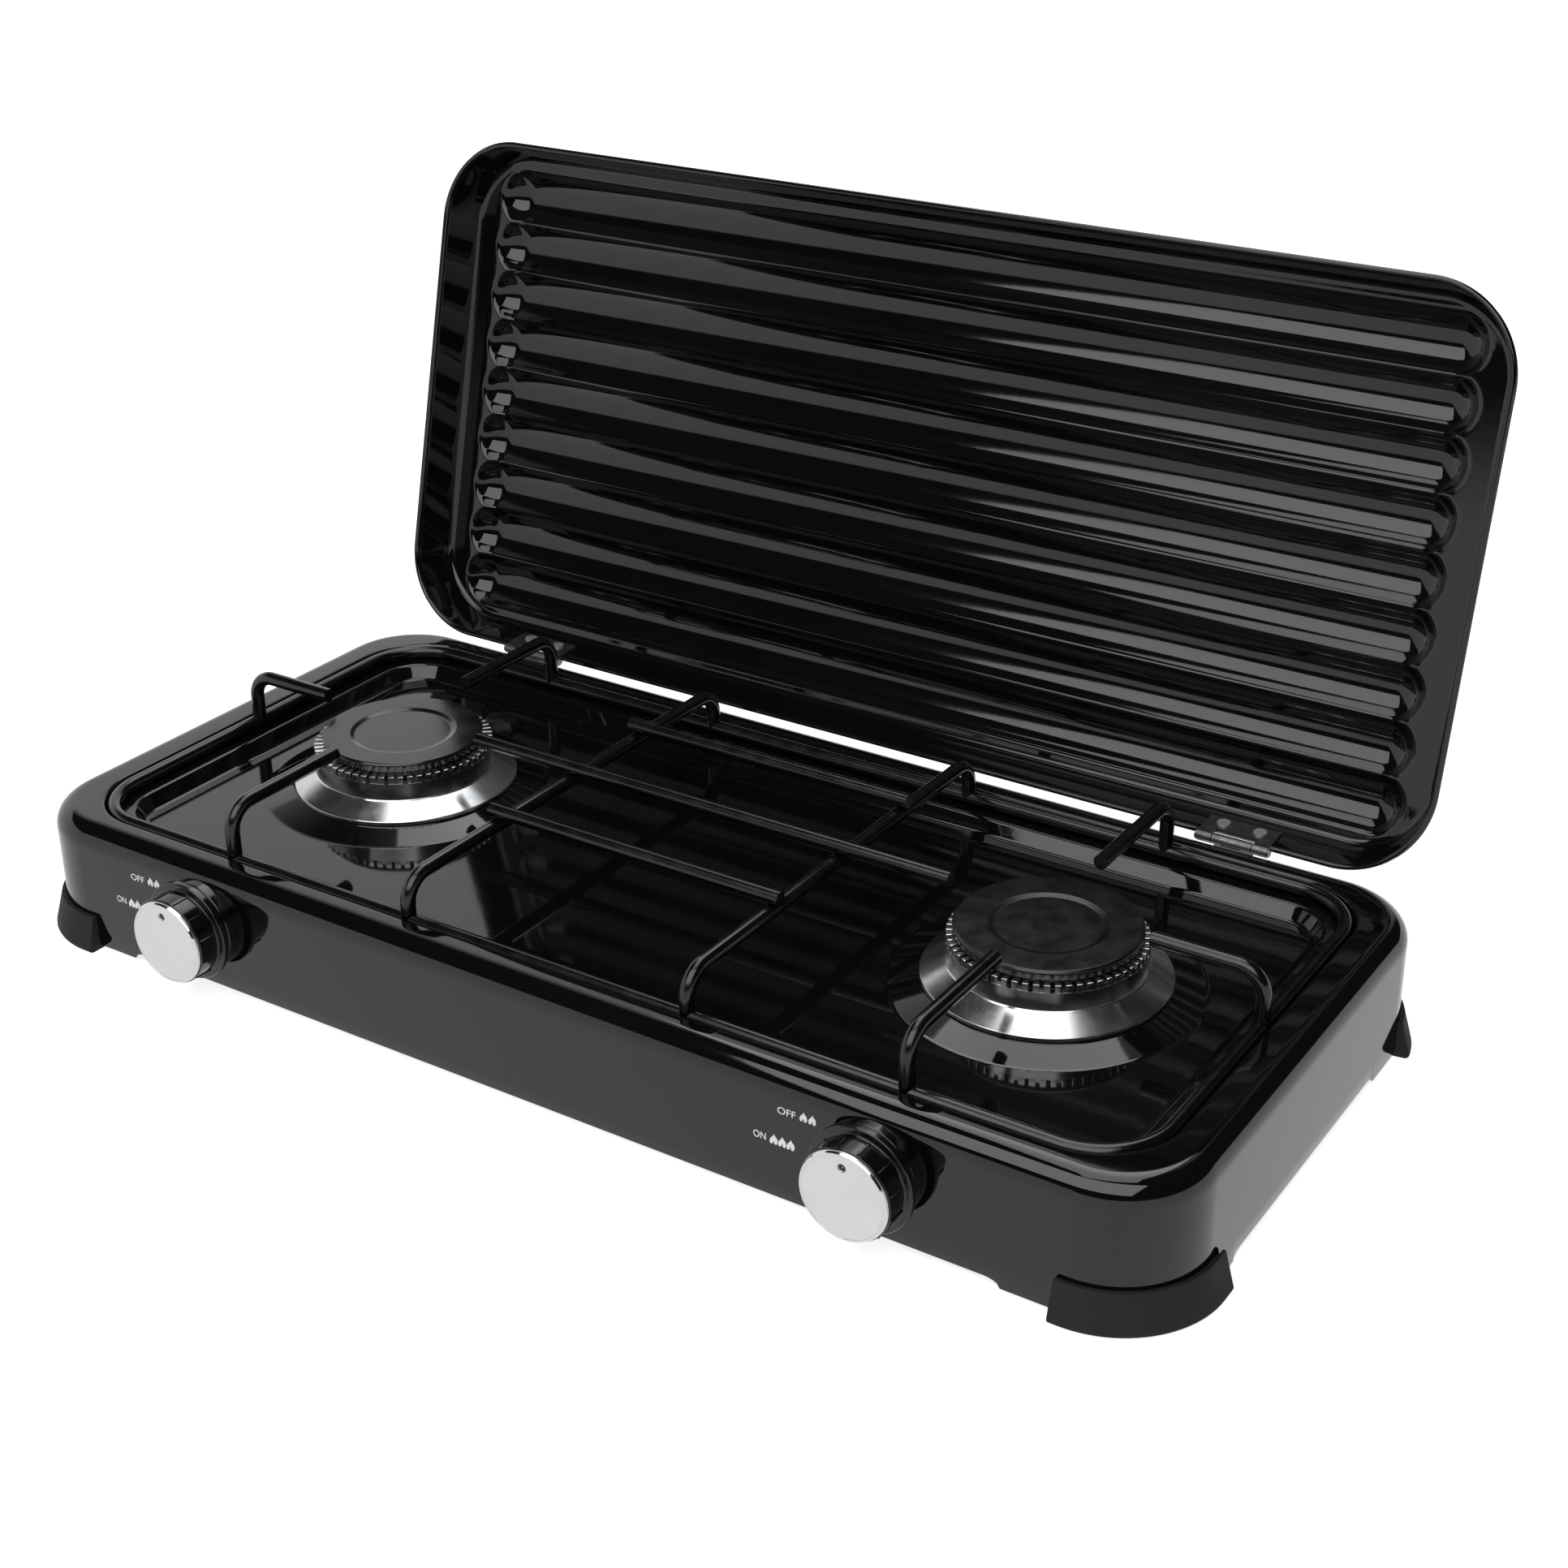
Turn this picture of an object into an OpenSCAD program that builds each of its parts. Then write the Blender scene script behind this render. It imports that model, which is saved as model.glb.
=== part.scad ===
// Table-top gas hob with two burners, a loose wire grate and a hinged, ribbed lid.
// Sizes are in millimetres. +X runs to the right, +Y to the back and +Z up.
// The hob stands on its four feet at z = 0, with the lid leaning back on its stop.

/* [Body shell] */
// Width of the body shell
body_w = 530; // [520:1:580]
// Depth of the body shell
body_d = 241; // [238:1:280]
// Height of the wall at mid span, from its bottom edge to the top
body_h = 51.4; // [50:0.2:60]
// Corner radius of the body shell
body_r = 36; // [33:1:42]
// Radius that rolls the wall into the top
body_fillet = 9; // [7:0.5:11]
// Thickness of the sheet steel in the shell and the lid
sheet_t = 0.8; // [0.6:0.1:1]
// How much lower the wall reaches at the corners than at mid span
corner_drop = 3; // [1:0.5:4]
// Distance from the body's side to the raised stretch of the front and rear wall
front_corner = 67; // [63:0.5:85]
// Distance from the body's front and back to the raised stretch of the side walls
side_corner = 61.5; // [58.5:0.5:75.5]
// Depth of the ledge that the grate rests on, below the top
ledge_depth = 5.4; // [4.6:0.2:6]
// Depth of the well's floor, below the top
well_depth = 11.6; // [10:0.2:13]
// Width of the ledge inside the grate frame's centreline
ledge_in = 8; // [6:0.5:9]
// Run of the slope between the ledge and the well's floor
well_slope = 4; // [2:0.5:5]
// Base radius of the cone pressed up round each burner
cone_r = 60.5; // [56:0.5:64]
// Rise of that cone above the well's floor
cone_rise = 3.5; // [2.5:0.1:4]

/* [Grate] */
// Diameter of the grate's wire
wire_d = 6; // [5:0.5:6.5]
// Distance from the body's side to the centre of the grate frame's wire
side_band = 21.6; // [21:0.2:28]
// Distance from the body's front and back to the centre of the frame's wire
front_band = 17.5; // [17:0.2:22]
// Gap between the frame's wire and the edge of its recess
wire_gap = 0.6; // [0.4:0.1:1]
// Corner radius of the frame's centreline
frame_r = 28; // [24:1:32]
// Bend radius of the legs, at the wire's centre
leg_bend_r = 10.5; // [8:0.5:12]
// Height of the fingers' and cross wires' centre above the body's top
finger_rise = 20.2; // [18:0.2:20.4]
// Distance from each burner's centre to its bridge wire
bridge_in = 91.7; // [83:0.1:107]
// Depth that crossing wires are sunk into each other by their weld
weld_sink = 0.4; // [0.2:0.1:0.8]
// Distance from the middle line to the outer cross wires
cross_y = 47; // [40:0.5:55]
// Length by which the outer cross wires pass the bridge wires
cross_over = 3.5; // [3:0.5:10]
// Radius that the fingers leave free over each burner
finger_free_r = 42; // [40:0.5:46]

/* [Lid] */
// Distance from the body's side to the lid's rim
lid_inset_x = 6.2; // [5:0.2:8]
// Distance from the body's front and back to the lid's rim
lid_inset_y = 3.4; // [3:0.2:4]
// Corner radius of the lid's rim
lid_r = 38.6; // [36:0.2:42]
// Height of the closed lid's rim above the body's top
lid_gap = 0.9; // [0.8:0.1:1.2]
// Depth of the lid's flat border behind its rim
lid_depth = 20.7; // [20.6:0.1:26]
// Distance from the lid's rim to its flat border
lid_shoulder = 9.5; // [8:0.5:10]
// Radius between the lid's wall and its border
lid_edge_r = 4; // [2.5:0.5:5]
// Width of the lid's rolled rim
bead_w = 2.6; // [2:0.2:3]
// Height of the lid's rolled rim
bead_h = 3; // [2.4:0.2:3.4]
// Distance between the ribs pressed into the lid
rib_pitch = 22.9; // [22:0.1:23.2]
// Radius of a rib's section, at its inside
rib_r = 14; // [14:0.1:15]
// Height of a rib's crown beyond the border
rib_rise = 8.1; // [7.8:0.1:9]
// Distance from the lid's rim to the middle of the outermost rib
rib_side_margin = 25.4; // [24.5:0.1:30]
// Distance from the lid's rim to the ribs' ends
rib_end_margin = 18.8; // [16:0.2:22]
// Angle that the lid opens through, from closed to its stop
lid_open = 103.8; // [95:0.2:108]

/* [Hinges] */
// Distance from the body's side to the middle of each hinge
hinge_in = 85; // [75:1:115]
// Width of a hinge
hinge_w = 31; // [27:1:36]
// Width of the hinge's middle knuckle
knuckle_w = 17; // [13:0.5:19]
// Outer radius of the hinge's knuckles
knuckle_r = 2.3; // [2.1:0.1:2.5]
// Radius of the hinge pin
pin_r = 1.2; // [0.9:0.1:1.4]
// Thickness of the hinge's leaves
leaf_t = 1; // [0.8:0.1:1.2]
// Height of each leaf on the wall that carries it
leaf_h = 14; // [12:0.5:15]
// Gap between neighbouring knuckles
knuckle_gap = 0.5; // [0.3:0.1:0.8]
// Distance between a leaf's two rivets
rivet_pitch = 16; // [12:1:18]
// Radius of a rivet's shank
rivet_r = 1.4; // [1.1:0.1:1.6]

/* [Burners] */
// Distance from the body's side to each burner's centre
burner_in = 107.8; // [100:0.2:115]
// Radius of the left burner's cap
cap_r_left = 34.4; // [33.8:0.2:37]
// Radius of the right burner's cap
cap_r_right = 36; // [33.8:0.2:37]
// Thickness of a cap at its rim
cap_h = 4.3; // [3.4:0.1:5]
// Radius of the dish in a cap
dish_r = 21; // [16:0.5:25]
// Radius of the burner head's crown
crown_r = 38.2; // [37.6:0.2:39]
// Wall thickness of the crown
crown_t = 5.2; // [4.5:0.1:5.6]
// Height of the crown's top above the body's top
crown_rise = 10; // [8:0.2:10.6]
// Radius of the burner head's skirt
skirt_r = 47.8; // [45.6:0.2:49]
// Height of the skirt's lip
skirt_lip = 1.6; // [1.2:0.1:2]
// Height of the skirt's cone above its lip
skirt_cone = 5.1; // [4:0.1:6]
// Number of flame slots, every second one shallow
slot_n = 60; // [40:2:64]
// Width of a flame slot
slot_w = 1.4; // [1:0.1:1.6]
// Depth of a deep slot
slot_deep = 4.4; // [3.6:0.1:5]
// Depth of a shallow slot
slot_shallow = 2.6; // [2:0.1:3]
// Outer radius of the burner cup's neck
neck_r = 32.5; // [30:0.1:32.6]
// Wall thickness of the burner cup
cup_t = 2.5; // [2:0.1:3]
// Radius of the burner cup's flange
flange_r = 44; // [43:0.5:46]
// Radius of the circle of the cup's three screws
screw_circle_r = 39; // [38:0.2:40]
// Outer radius of the mixing tube
mix_r = 9.5; // [8.5:0.1:10.5]
// Gap between an injector and the mouth of its mixing tube
mix_gap = 12.7; // [9:0.1:22]

/* [Gas supply] */
// Distance from the body's left side to the left tap
tap_in_left = 103.5; // [97:0.5:107]
// Distance from the body's right side to the right tap
tap_in_right = 110.5; // [107:0.5:117]
// Height of the taps' axis above the wall's bottom edge
tap_z = 27.2; // [27:0.1:29]
// Outer radius of the tap's body
tap_r = 9.5; // [9:0.1:10.5]
// Length of the tap's body behind the front wall
tap_len = 27; // [25:0.5:30]
// Outer radius of the gas rail
rail_r = 6; // [5:0.1:6.4]
// Wall thickness of the gas rail
rail_t = 1; // [0.8:0.1:1.4]
// Distance from the front wall's inside to the gas rail's axis
rail_back = 15.8; // [15.6:0.1:16]
// Distance from the taps' axis down to the gas rail's axis
rail_below = 17; // [16.5:0.1:18]
// Distance from the body's left side to the supply pipe
supply_in = 60; // [53:0.5:65]
// Radius of the supply pipe's bend
rail_bend_r = 18; // [14:0.5:22]
// Length of the hose tail behind the rear wall
tail_len = 30; // [22:0.5:40]
// Radius of the hose tail between its ridges
tail_r = 4.2; // [3.8:0.1:5]

/* [Knobs] */
// How far the knob's face stands in front of the body
knob_proud = 20.4; // [19:0.1:24]
// Radius of the knob's metal face
face_r = 17.6; // [16.5:0.1:18.4]
// Thickness of the knob's metal face
face_t = 1.8; // [1.4:0.1:2.2]
// Outer radius of the knob's flange
flare_r = 20.9; // [20.6:0.1:22]
// Radius of the collar behind the knob
collar_r = 19.2; // [18.4:0.1:19.4]
// Height of the collar on the front wall
collar_h = 4.8; // [4.4:0.1:5]
// Distance from the front wall to the knob's flange
flare_back = 6; // [6:0.1:6.6]
// Height of the knob's flange
flare_h = 3; // [2.4:0.1:3.6]
// Travel of the knob when it is pushed in
push_travel = 3; // [2:0.1:3]
// Radius of the spindle
spindle_r = 3; // [2.6:0.1:3.2]

/* [Feet] */
// Height of the wall's mid-span edge above the surface that the hob stands on
foot_drop = 4.8; // [4:0.2:8]
// How far a foot covers the wall above that edge
foot_cover = 10.8; // [9:0.2:14]
// Thickness of a foot at its top
foot_top_t = 2; // [1.8:0.1:3]
// Spread of a foot at its base, outside the wall
foot_base_t = 6.4; // [5:0.2:9]
// Radius of the base's outer edge
foot_edge_r = 1.5; // [0.8:0.1:2.4]
// Reach of a foot's base inside the wall
foot_inner = 10; // [8:0.5:12]
// Length of a front foot's straight arm along the front
foot_arm_x = 4; // [3:0.5:12]
// Length of a front foot's straight arm along the side
foot_arm_y = 7; // [5:0.5:12]
// Length of a rear foot's straight arm along the back
foot_arm_rear = 8; // [4:0.5:12]
// Angle of each rear corner that its foot leaves bare, next to the side
rear_bare = 7.5; // [2:0.5:12]

/* [Clearances] */
// Radial clearance of a turning or sliding fit
run_fit = 0.05; // [0.03:0.01:0.1]
// Clearance of a loose part on its seat
loose_fit = 0.3; // [0.2:0.05:0.5]

/* [Hidden] */
$fn = 64;

// Heights above the surface that the hob stands on
z_wall = foot_drop;
z_low = z_wall - corner_drop;
z_top = z_wall + body_h;
z_ledge = z_top - ledge_depth;
z_floor = z_top - well_depth;
z_cone = z_floor + cone_rise;
z_rim = z_top + lid_gap;
z_tap = z_wall + tap_z;
z_rail = z_tap - rail_below;

// Places across the hob, measured from its middle
front_span = body_w - 2 * front_corner;
side_span = body_d - 2 * side_corner;
hinge_x = body_w / 2 - hinge_in;
burner_x = body_w / 2 - burner_in;
bridge_x = burner_x - bridge_in;
tap_x_left = body_w / 2 - tap_in_left;
tap_x_right = body_w / 2 - tap_in_right;
supply_x = body_w / 2 - supply_in;

// Grate
wire_r = wire_d / 2;
frame_w = body_w - 2 * side_band;
frame_d = body_d - 2 * front_band;
z_frame = z_ledge + wire_r;
z_finger = z_top + finger_rise;
z_bridge = z_finger - wire_d + weld_sink;
grate_lean = wire_r + wire_gap;

// Well
recess_w = frame_w + 2 * grate_lean;
recess_d = frame_d + 2 * grate_lean;
recess_r = frame_r + grate_lean;
ledge_w = grate_lean + ledge_in;
slope_w = ledge_w + well_slope;
cone_lap = 1;
arc_steps = 8;

// Lid, in its closed place
lid_w = body_w - 2 * lid_inset_x;
lid_d = body_d - 2 * lid_inset_y;
z_border = z_rim + lid_depth;
rib_drop = rib_r - rib_rise;
rib_mouth_r = sqrt(rib_r * rib_r - rib_drop * rib_drop);
rib_n = floor((lid_d - 2 * rib_side_margin) / rib_pitch) + 1;
rib_half_l = lid_w / 2 - rib_end_margin - rib_mouth_r;

// Hinge axis: the lid's leaf lies on the inside of its wall and rolls round the pin
leaf_tuck = 0.1;
axis_out = knuckle_r - sheet_t - leaf_t - leaf_tuck;
hinge_y = lid_d / 2 + axis_out * cos(wall_lean());
hinge_z = z_rim + axis_out * sin(wall_lean());
tab_w = (hinge_w - knuckle_w) / 2 - knuckle_gap;
notch_side = 1;
notch_front = hinge_y - knuckle_r - 0.8;
rear_inside = body_d / 2 - sheet_t;
rivet_head_r = 2 * rivet_r;
rivet_head_h = 0.8;

// Depth of the whole hob, from the knobs' faces to the open lid's back
front_reach = body_d / 2 + knob_proud;
rib_back_y = -rib_pitch * (rib_n - 1) / 2 - hinge_y;
rib_back_z = z_border - rib_drop - hinge_z;
rib_reach = hinge_y - rib_back_y * sin(lid_open - 90)
    + rib_back_z * cos(lid_open - 90) + rib_r + sheet_t;
origin_y = (rib_reach - front_reach) / 2;

// Burner
z_crown = z_top + crown_rise;
z_lip = z_cone + 0.2;
z_skirt = z_lip + skirt_lip + skirt_cone;
crown_in = crown_r - crown_t;
z_neck = z_skirt - 0.4;
z_flange = z_cone - sheet_t;
flange_t = 3;
cup_floor = 4.5;
hole_r = neck_r + loose_fit;
screw_r = 2;

// Taps
y_front = -body_d / 2;
y_inside = y_front + sheet_t;
y_tap_back = y_inside + tap_len;
y_rail = y_inside + rail_back;
thread_r = spindle_r + 3.9;
bore_r = spindle_r + 2;
y_thread = y_front - 5.6;
thread_wall = 1.5;
plug_len = 14;
y_plug = y_tap_back - 5.5 - plug_len;
nut_h = 3;
strap_t = 1.5;
strap_screw_r = 1.5;
strap_head_r = strap_screw_r + 1.1;
strap_screw_y = rail_r + run_fit + strap_t + strap_head_r + loose_fit;
saddle_half = strap_screw_y + strap_screw_r + 1;
saddle_h = 9.5;
injector_l = 8;
mix_reach = -y_tap_back - injector_l - mix_gap;
nut_r = thread_r + 2.6;

// Knob
y_face = y_front - knob_proud;
barrel_r = face_r + 0.5;
y_flare = y_front - flare_back;
y_spindle = y_face + face_t + 2.4;

// Colours
enamel = [0.05, 0.05, 0.05];
rubber = [0.09, 0.09, 0.09];
zinc = [0.72, 0.73, 0.74];
polished = [0.86, 0.87, 0.88];
brass = [0.78, 0.62, 0.3];
plastic = [0.04, 0.04, 0.04];
silver = [0.8, 0.81, 0.82];

// Lean of the lid's wall, which runs from the rim's edge to touch its rounded shoulder
function wall_lean() = let (up = lid_depth + sheet_t - lid_edge_r)
    acos(lid_edge_r / norm([lid_shoulder, up])) - atan2(up, lid_shoulder);

// Points along an arc
function arc(x, y, r, a0, a1) =
    [for (i = [0:arc_steps]) let (a = a0 + (a1 - a0) * i / arc_steps) [x + r * cos(a), y + r * sin(a)]];

// Puts the origin under the middle of the whole hob
module place() {
    translate([0, -origin_y, 0]) children();
}

// Turns the closed lid about its hinge axis to its stop
module opened() {
    translate([0, hinge_y, hinge_z])
        rotate([-lid_open, 0, 0])
            translate([0, -hinge_y, -hinge_z]) children();
}

// Sweeps a profile round a rectangle with round corners; its x = 0 lies on the outline
module sweep_round(w, d, r) {
    for (i = [0:3])
        translate([(i == 0 || i == 3 ? 1 : -1) * (w / 2 - r), (i < 2 ? 1 : -1) * (d / 2 - r), 0])
            rotate([0, 0, 90 * i])
                rotate_extrude(angle = 90) translate([r, 0]) children();
    for (turn = [0, 180])
        rotate([0, 0, turn]) {
            translate([0, d / 2, 0])
                rotate([90, 0, 90]) linear_extrude(w - 2 * r, center = true) children();
            translate([w / 2, 0, 0])
                rotate([90, 0, 0]) linear_extrude(d - 2 * r, center = true) children();
        }
}

// Plate with round corners
module round_plate(w, d, r, z, h) {
    sweep_round(w, d, r) translate([-r, z]) square([r, h]);
    translate([r - w / 2, r - d / 2, z]) cube([w - 2 * r, d - 2 * r, h]);
}

// Cylinder from a point along X, Y or Z
module rod_x(p, l, r) {
    translate(p) rotate([0, 90, 0]) cylinder(h = l, r = r);
}
module rod_y(p, l, r) {
    translate(p) rotate([-90, 0, 0]) cylinder(h = l, r = r);
}
module rod_z(p, l, r) {
    translate(p) cylinder(h = l, r = r);
}

// Rod along Y with a flat on its upper side
module flat_rod(p, l, r, flat) {
    difference() {
        rod_y(p, l, r);
        translate([p.x - r, p.y - 1, p.z + flat]) cube([2 * r, l + 2, r]);
    }
}

// Section of the body's wall and its rounded top edge
module wall_section() {
    z = z_top - body_fillet;
    polygon(concat(
        [[0, z_low]],
        arc(-body_fillet, z, body_fillet, 0, 90),
        arc(-body_fillet, z, body_fillet - sheet_t, 90, 0),
        [[-sheet_t, z_low]]));
}

// Section of the recess's edge, the ledge and the slope down to the well's floor
module recess_section() {
    polygon([
        [sheet_t, z_top - sheet_t],
        [sheet_t, z_ledge - sheet_t],
        [sheet_t - ledge_w, z_ledge - sheet_t],
        [sheet_t - slope_w, z_floor - sheet_t],
        [-slope_w, z_floor - sheet_t],
        [-slope_w, z_floor],
        [-ledge_w, z_ledge],
        [0, z_ledge],
        [0, z_top - sheet_t]]);
}

// Window that lifts the wall's bottom edge over a span
module span_window(span) {
    low = z_low - 1;
    rotate([90, 0, 0])
        linear_extrude(4 * sheet_t, center = true)
            polygon([
                [-span / 2 - 2 * corner_drop, low],
                [-span / 2 - 2 * corner_drop, z_low],
                [-span / 2, z_wall],
                [span / 2, z_wall],
                [span / 2 + 2 * corner_drop, z_low],
                [span / 2 + 2 * corner_drop, low]]);
}

// Cone pressed up round a burner, with its centre hole and a flat lap on the floor
module burner_cone() {
    rotate_extrude()
        polygon([
            [cone_r + 2 * cone_lap, z_floor],
            [cone_r, z_floor],
            [skirt_r, z_cone],
            [hole_r, z_cone],
            [hole_r, z_flange],
            [skirt_r, z_flange],
            [cone_r, z_floor - sheet_t],
            [cone_r + 2 * cone_lap, z_floor - sheet_t]]);
}

// Places its children at the three screws of a burner cup
module at_cup_screws() {
    for (a = [30, 150, 270])
        rotate([0, 0, a]) translate([screw_circle_r, 0, 0]) children();
}

// Places its children at the two rivets of each hinge
module at_hinge_pairs() {
    for (s = [-1, 1], k = [-1, 1])
        translate([s * hinge_x + k * rivet_pitch / 2, 0, 0]) children();
}

module body_shell() {
    color(enamel) place() difference() {
        union() {
            sweep_round(body_w, body_d, body_r) wall_section();
            difference() {
                round_plate(body_w - 2 * body_fillet, body_d - 2 * body_fillet,
                    body_r - body_fillet, z_top - sheet_t, sheet_t);
                round_plate(recess_w, recess_d, recess_r, z_top - 2 * sheet_t, 4 * sheet_t);
            }
            sweep_round(recess_w, recess_d, recess_r) recess_section();
            difference() {
                round_plate(recess_w - 2 * slope_w, recess_d - 2 * slope_w,
                    recess_r - slope_w, z_floor - sheet_t, sheet_t);
                for (s = [-1, 1])
                    rod_z([s * burner_x, 0, z_floor - 2 * sheet_t], 4 * sheet_t, cone_r + cone_lap);
            }
            for (s = [-1, 1]) translate([s * burner_x, 0, 0]) burner_cone();
        }
        for (s = [-1, 1]) {
            translate([0, s * body_d / 2, 0]) span_window(front_span);
            translate([s * body_w / 2, 0, 0]) rotate([0, 0, 90]) span_window(side_span);
            translate([s * burner_x, 0, 0]) at_cup_screws()
                rod_z([0, 0, z_flange - 1], sheet_t + 2, screw_r + run_fit);
            translate([s * hinge_x - hinge_w / 2 - notch_side, notch_front, z_top - body_fillet - 1])
                cube([hinge_w + 2 * notch_side, body_d / 2 + 1 - notch_front, body_fillet + 2]);
        }
        at_hinge_pairs() rod_y([0, rear_inside - 1, z_body_rivet()], sheet_t + 2, rivet_r + run_fit);
        for (x = [-tap_x_left, tap_x_right])
            rod_y([x, y_front - 1, z_tap], sheet_t + 2, thread_r + run_fit);
        rod_y([-supply_x, rear_inside - 1, z_rail], sheet_t + 2, nozzle_thread_r() + run_fit);
    }
}

// Height of the rivets that hold the hinge's leaf on the rear wall
function z_body_rivet() = z_top - body_fillet - leaf_h / 2;

// Radius of the hose nozzle's thread
function nozzle_thread_r() = rail_r + 1;

// Section of a foot: it grips the wall's edge and spreads to its base
module foot_section() {
    grip = 0.1;
    top = z_wall + foot_cover;
    lean = atan2(foot_base_t - foot_top_t, top);
    polygon(concat(
        [[grip, top], [foot_top_t, top]],
        arc(foot_base_t - foot_edge_r, foot_edge_r, foot_edge_r, lean, -90),
        [[-foot_inner, 0],
        [-foot_inner, z_low + 6],
        [-sheet_t - grip, z_low + 6],
        [-sheet_t - grip, z_low],
        [grip, z_low]]));
}

// Foot at a corner of the body, with its arms' lengths and the angle it leaves bare
module foot(sx, sy, arm_x, arm_y, bare) {
    cx = body_w / 2 - body_r;
    cy = body_d / 2 - body_r;
    turn = sy > 0 ? 90 : (sx > 0 ? 270 : 180);
    sweep = sx > 0 && sy > 0 ? bare - 90 : 90 - bare;
    color(rubber) place() union() {
        translate([sx * cx, sy * cy, 0])
            rotate([0, 0, turn])
                rotate_extrude(angle = sweep) translate([body_r, 0]) foot_section();
        translate([sx * (cx - arm_x / 2), sy * body_d / 2, 0])
            rotate([90, 0, sy * 90])
                linear_extrude(arm_x, center = true) foot_section();
        if (arm_y > 0)
            difference() {
                translate([sx * body_w / 2, sy * (cy - arm_y / 2), 0])
                    rotate([90, 0, sx > 0 ? 0 : 180])
                        linear_extrude(arm_y, center = true) foot_section();
                foot_slit(sx, sy * (cy - arm_y));
            }
    }
}

// Slit that lets the end of a foot's lip stand off the side wall
module foot_slit(sx, y) {
    slit_w = 0.8;
    slit_l = 4;
    slit_h = 4;
    translate([sx * (body_w / 2 + slit_w / 2), y, z_wall + foot_cover])
        cube([slit_w, 2 * slit_l, 2 * slit_h], center = true);
}
module foot_front_left() {
    foot(-1, -1, foot_arm_x, foot_arm_y, 0);
}
module foot_front_right() {
    foot(1, -1, foot_arm_x, foot_arm_y, 0);
}
module foot_rear_left() {
    foot(-1, 1, foot_arm_rear, 0, rear_bare);
}
module foot_rear_right() {
    foot(1, 1, foot_arm_rear, 0, rear_bare);
}

// Section of the lid's rolled rim, leaning wall and rounded shoulder, closed
module lid_section() {
    x = -lid_shoulder;
    z = z_border + sheet_t - lid_edge_r;
    edge = 0.6;
    wall_in = bead_h * tan(wall_lean());
    polygon(concat(
        [[-bead_w, z_rim],
        [-edge, z_rim],
        [0, z_rim + edge],
        [0, z_rim + bead_h - edge],
        [-wall_in, z_rim + bead_h]],
        arc(x, z, lid_edge_r, wall_lean(), 90),
        arc(x, z, lid_edge_r - sheet_t, 90, wall_lean()),
        [[-wall_in - sheet_t / cos(wall_lean()), z_rim + bead_h],
        [-bead_w, z_rim + bead_h - edge]]));
}

// All the lid's ribs as solid rods with round ends
module rib_rods(r) {
    for (i = [0:rib_n - 1])
        translate([0, (i - (rib_n - 1) / 2) * rib_pitch, z_border - rib_drop])
            rotate([0, 90, 0])
                rotate_extrude()
                    polygon(concat(
                        [[0, -rib_half_l - r]],
                        arc(0, -rib_half_l, r, -80, 0),
                        arc(0, rib_half_l, r, 0, 80),
                        [[0, rib_half_l + r]]));
}

module lid_pan() {
    field_w = 2 * (rib_half_l + rib_r + 2);
    field_d = (rib_n - 1) * rib_pitch + 2 * (rib_r + 2);
    color(enamel) place() opened() difference() {
        union() {
            sweep_round(lid_w, lid_d, lid_r) lid_section();
            round_plate(lid_w - 2 * lid_shoulder, lid_d - 2 * lid_shoulder,
                lid_r - lid_shoulder, z_border, sheet_t);
            intersection() {
                rib_rods(rib_r + sheet_t);
                translate([-field_w / 2, -field_d / 2, z_border])
                    cube([field_w, field_d, rib_rise + 2]);
            }
        }
        rib_rods(rib_r);
        for (s = [-1, 1])
            translate([s * hinge_x - hinge_w / 2 - notch_side, lid_d / 2 - bead_w - 0.4, z_rim - 1])
                cube([hinge_w + 2 * notch_side, bead_w + 2, bead_h + 1.6]);
        on_lid_wall() at_hinge_pairs() rod_y([0, -sheet_t - 1, lid_rivet_up()], sheet_t + 2, rivet_r + run_fit);
    }
}

// Height along the lid's rear wall of the rivets in its leaf
function lid_rivet_up() = (bead_h + 1.2 + leaf_h) / 2;

// Frame on the lid's rear wall: y = 0 is its outside and z runs up along the wall
module on_lid_wall() {
    translate([0, lid_d / 2, z_rim]) rotate([wall_lean(), 0, 0]) children();
}

// Section of the lid's leaf: a strip on the inside of the lid's wall, from a height up
module lid_leaf_strip(low) {
    translate([lid_d / 2, z_rim])
        rotate(wall_lean()) translate([-sheet_t - leaf_t, low]) square([leaf_t, leaf_h - low]);
}

// Leaf on the lid: a plate with two outer knuckles rolled round the pin
module lid_hinge_leaf(s) {
    color(zinc) place() opened() translate([s * hinge_x, 0, 0]) difference() {
        rotate([90, 0, 90]) {
            linear_extrude(hinge_w - 2 * tab_w, center = true) lid_leaf_strip(bead_h + 1.2);
            for (k = [-1, 1])
                translate([0, 0, k * (hinge_w - tab_w) / 2]) linear_extrude(tab_w, center = true)
                    difference() {
                        union() {
                            translate([hinge_y, hinge_z]) circle(r = knuckle_r);
                            lid_leaf_strip(0);
                        }
                        translate([hinge_y, hinge_z]) circle(r = pin_r + run_fit);
                    }
        }
        on_lid_wall() for (k = [-1, 1])
            rod_y([k * rivet_pitch / 2, -sheet_t - leaf_t - 1, lid_rivet_up()], leaf_t + 2, rivet_r + run_fit);
    }
}
module lid_hinge_leaf_left() {
    lid_hinge_leaf(-1);
}
module lid_hinge_leaf_right() {
    lid_hinge_leaf(1);
}

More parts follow.
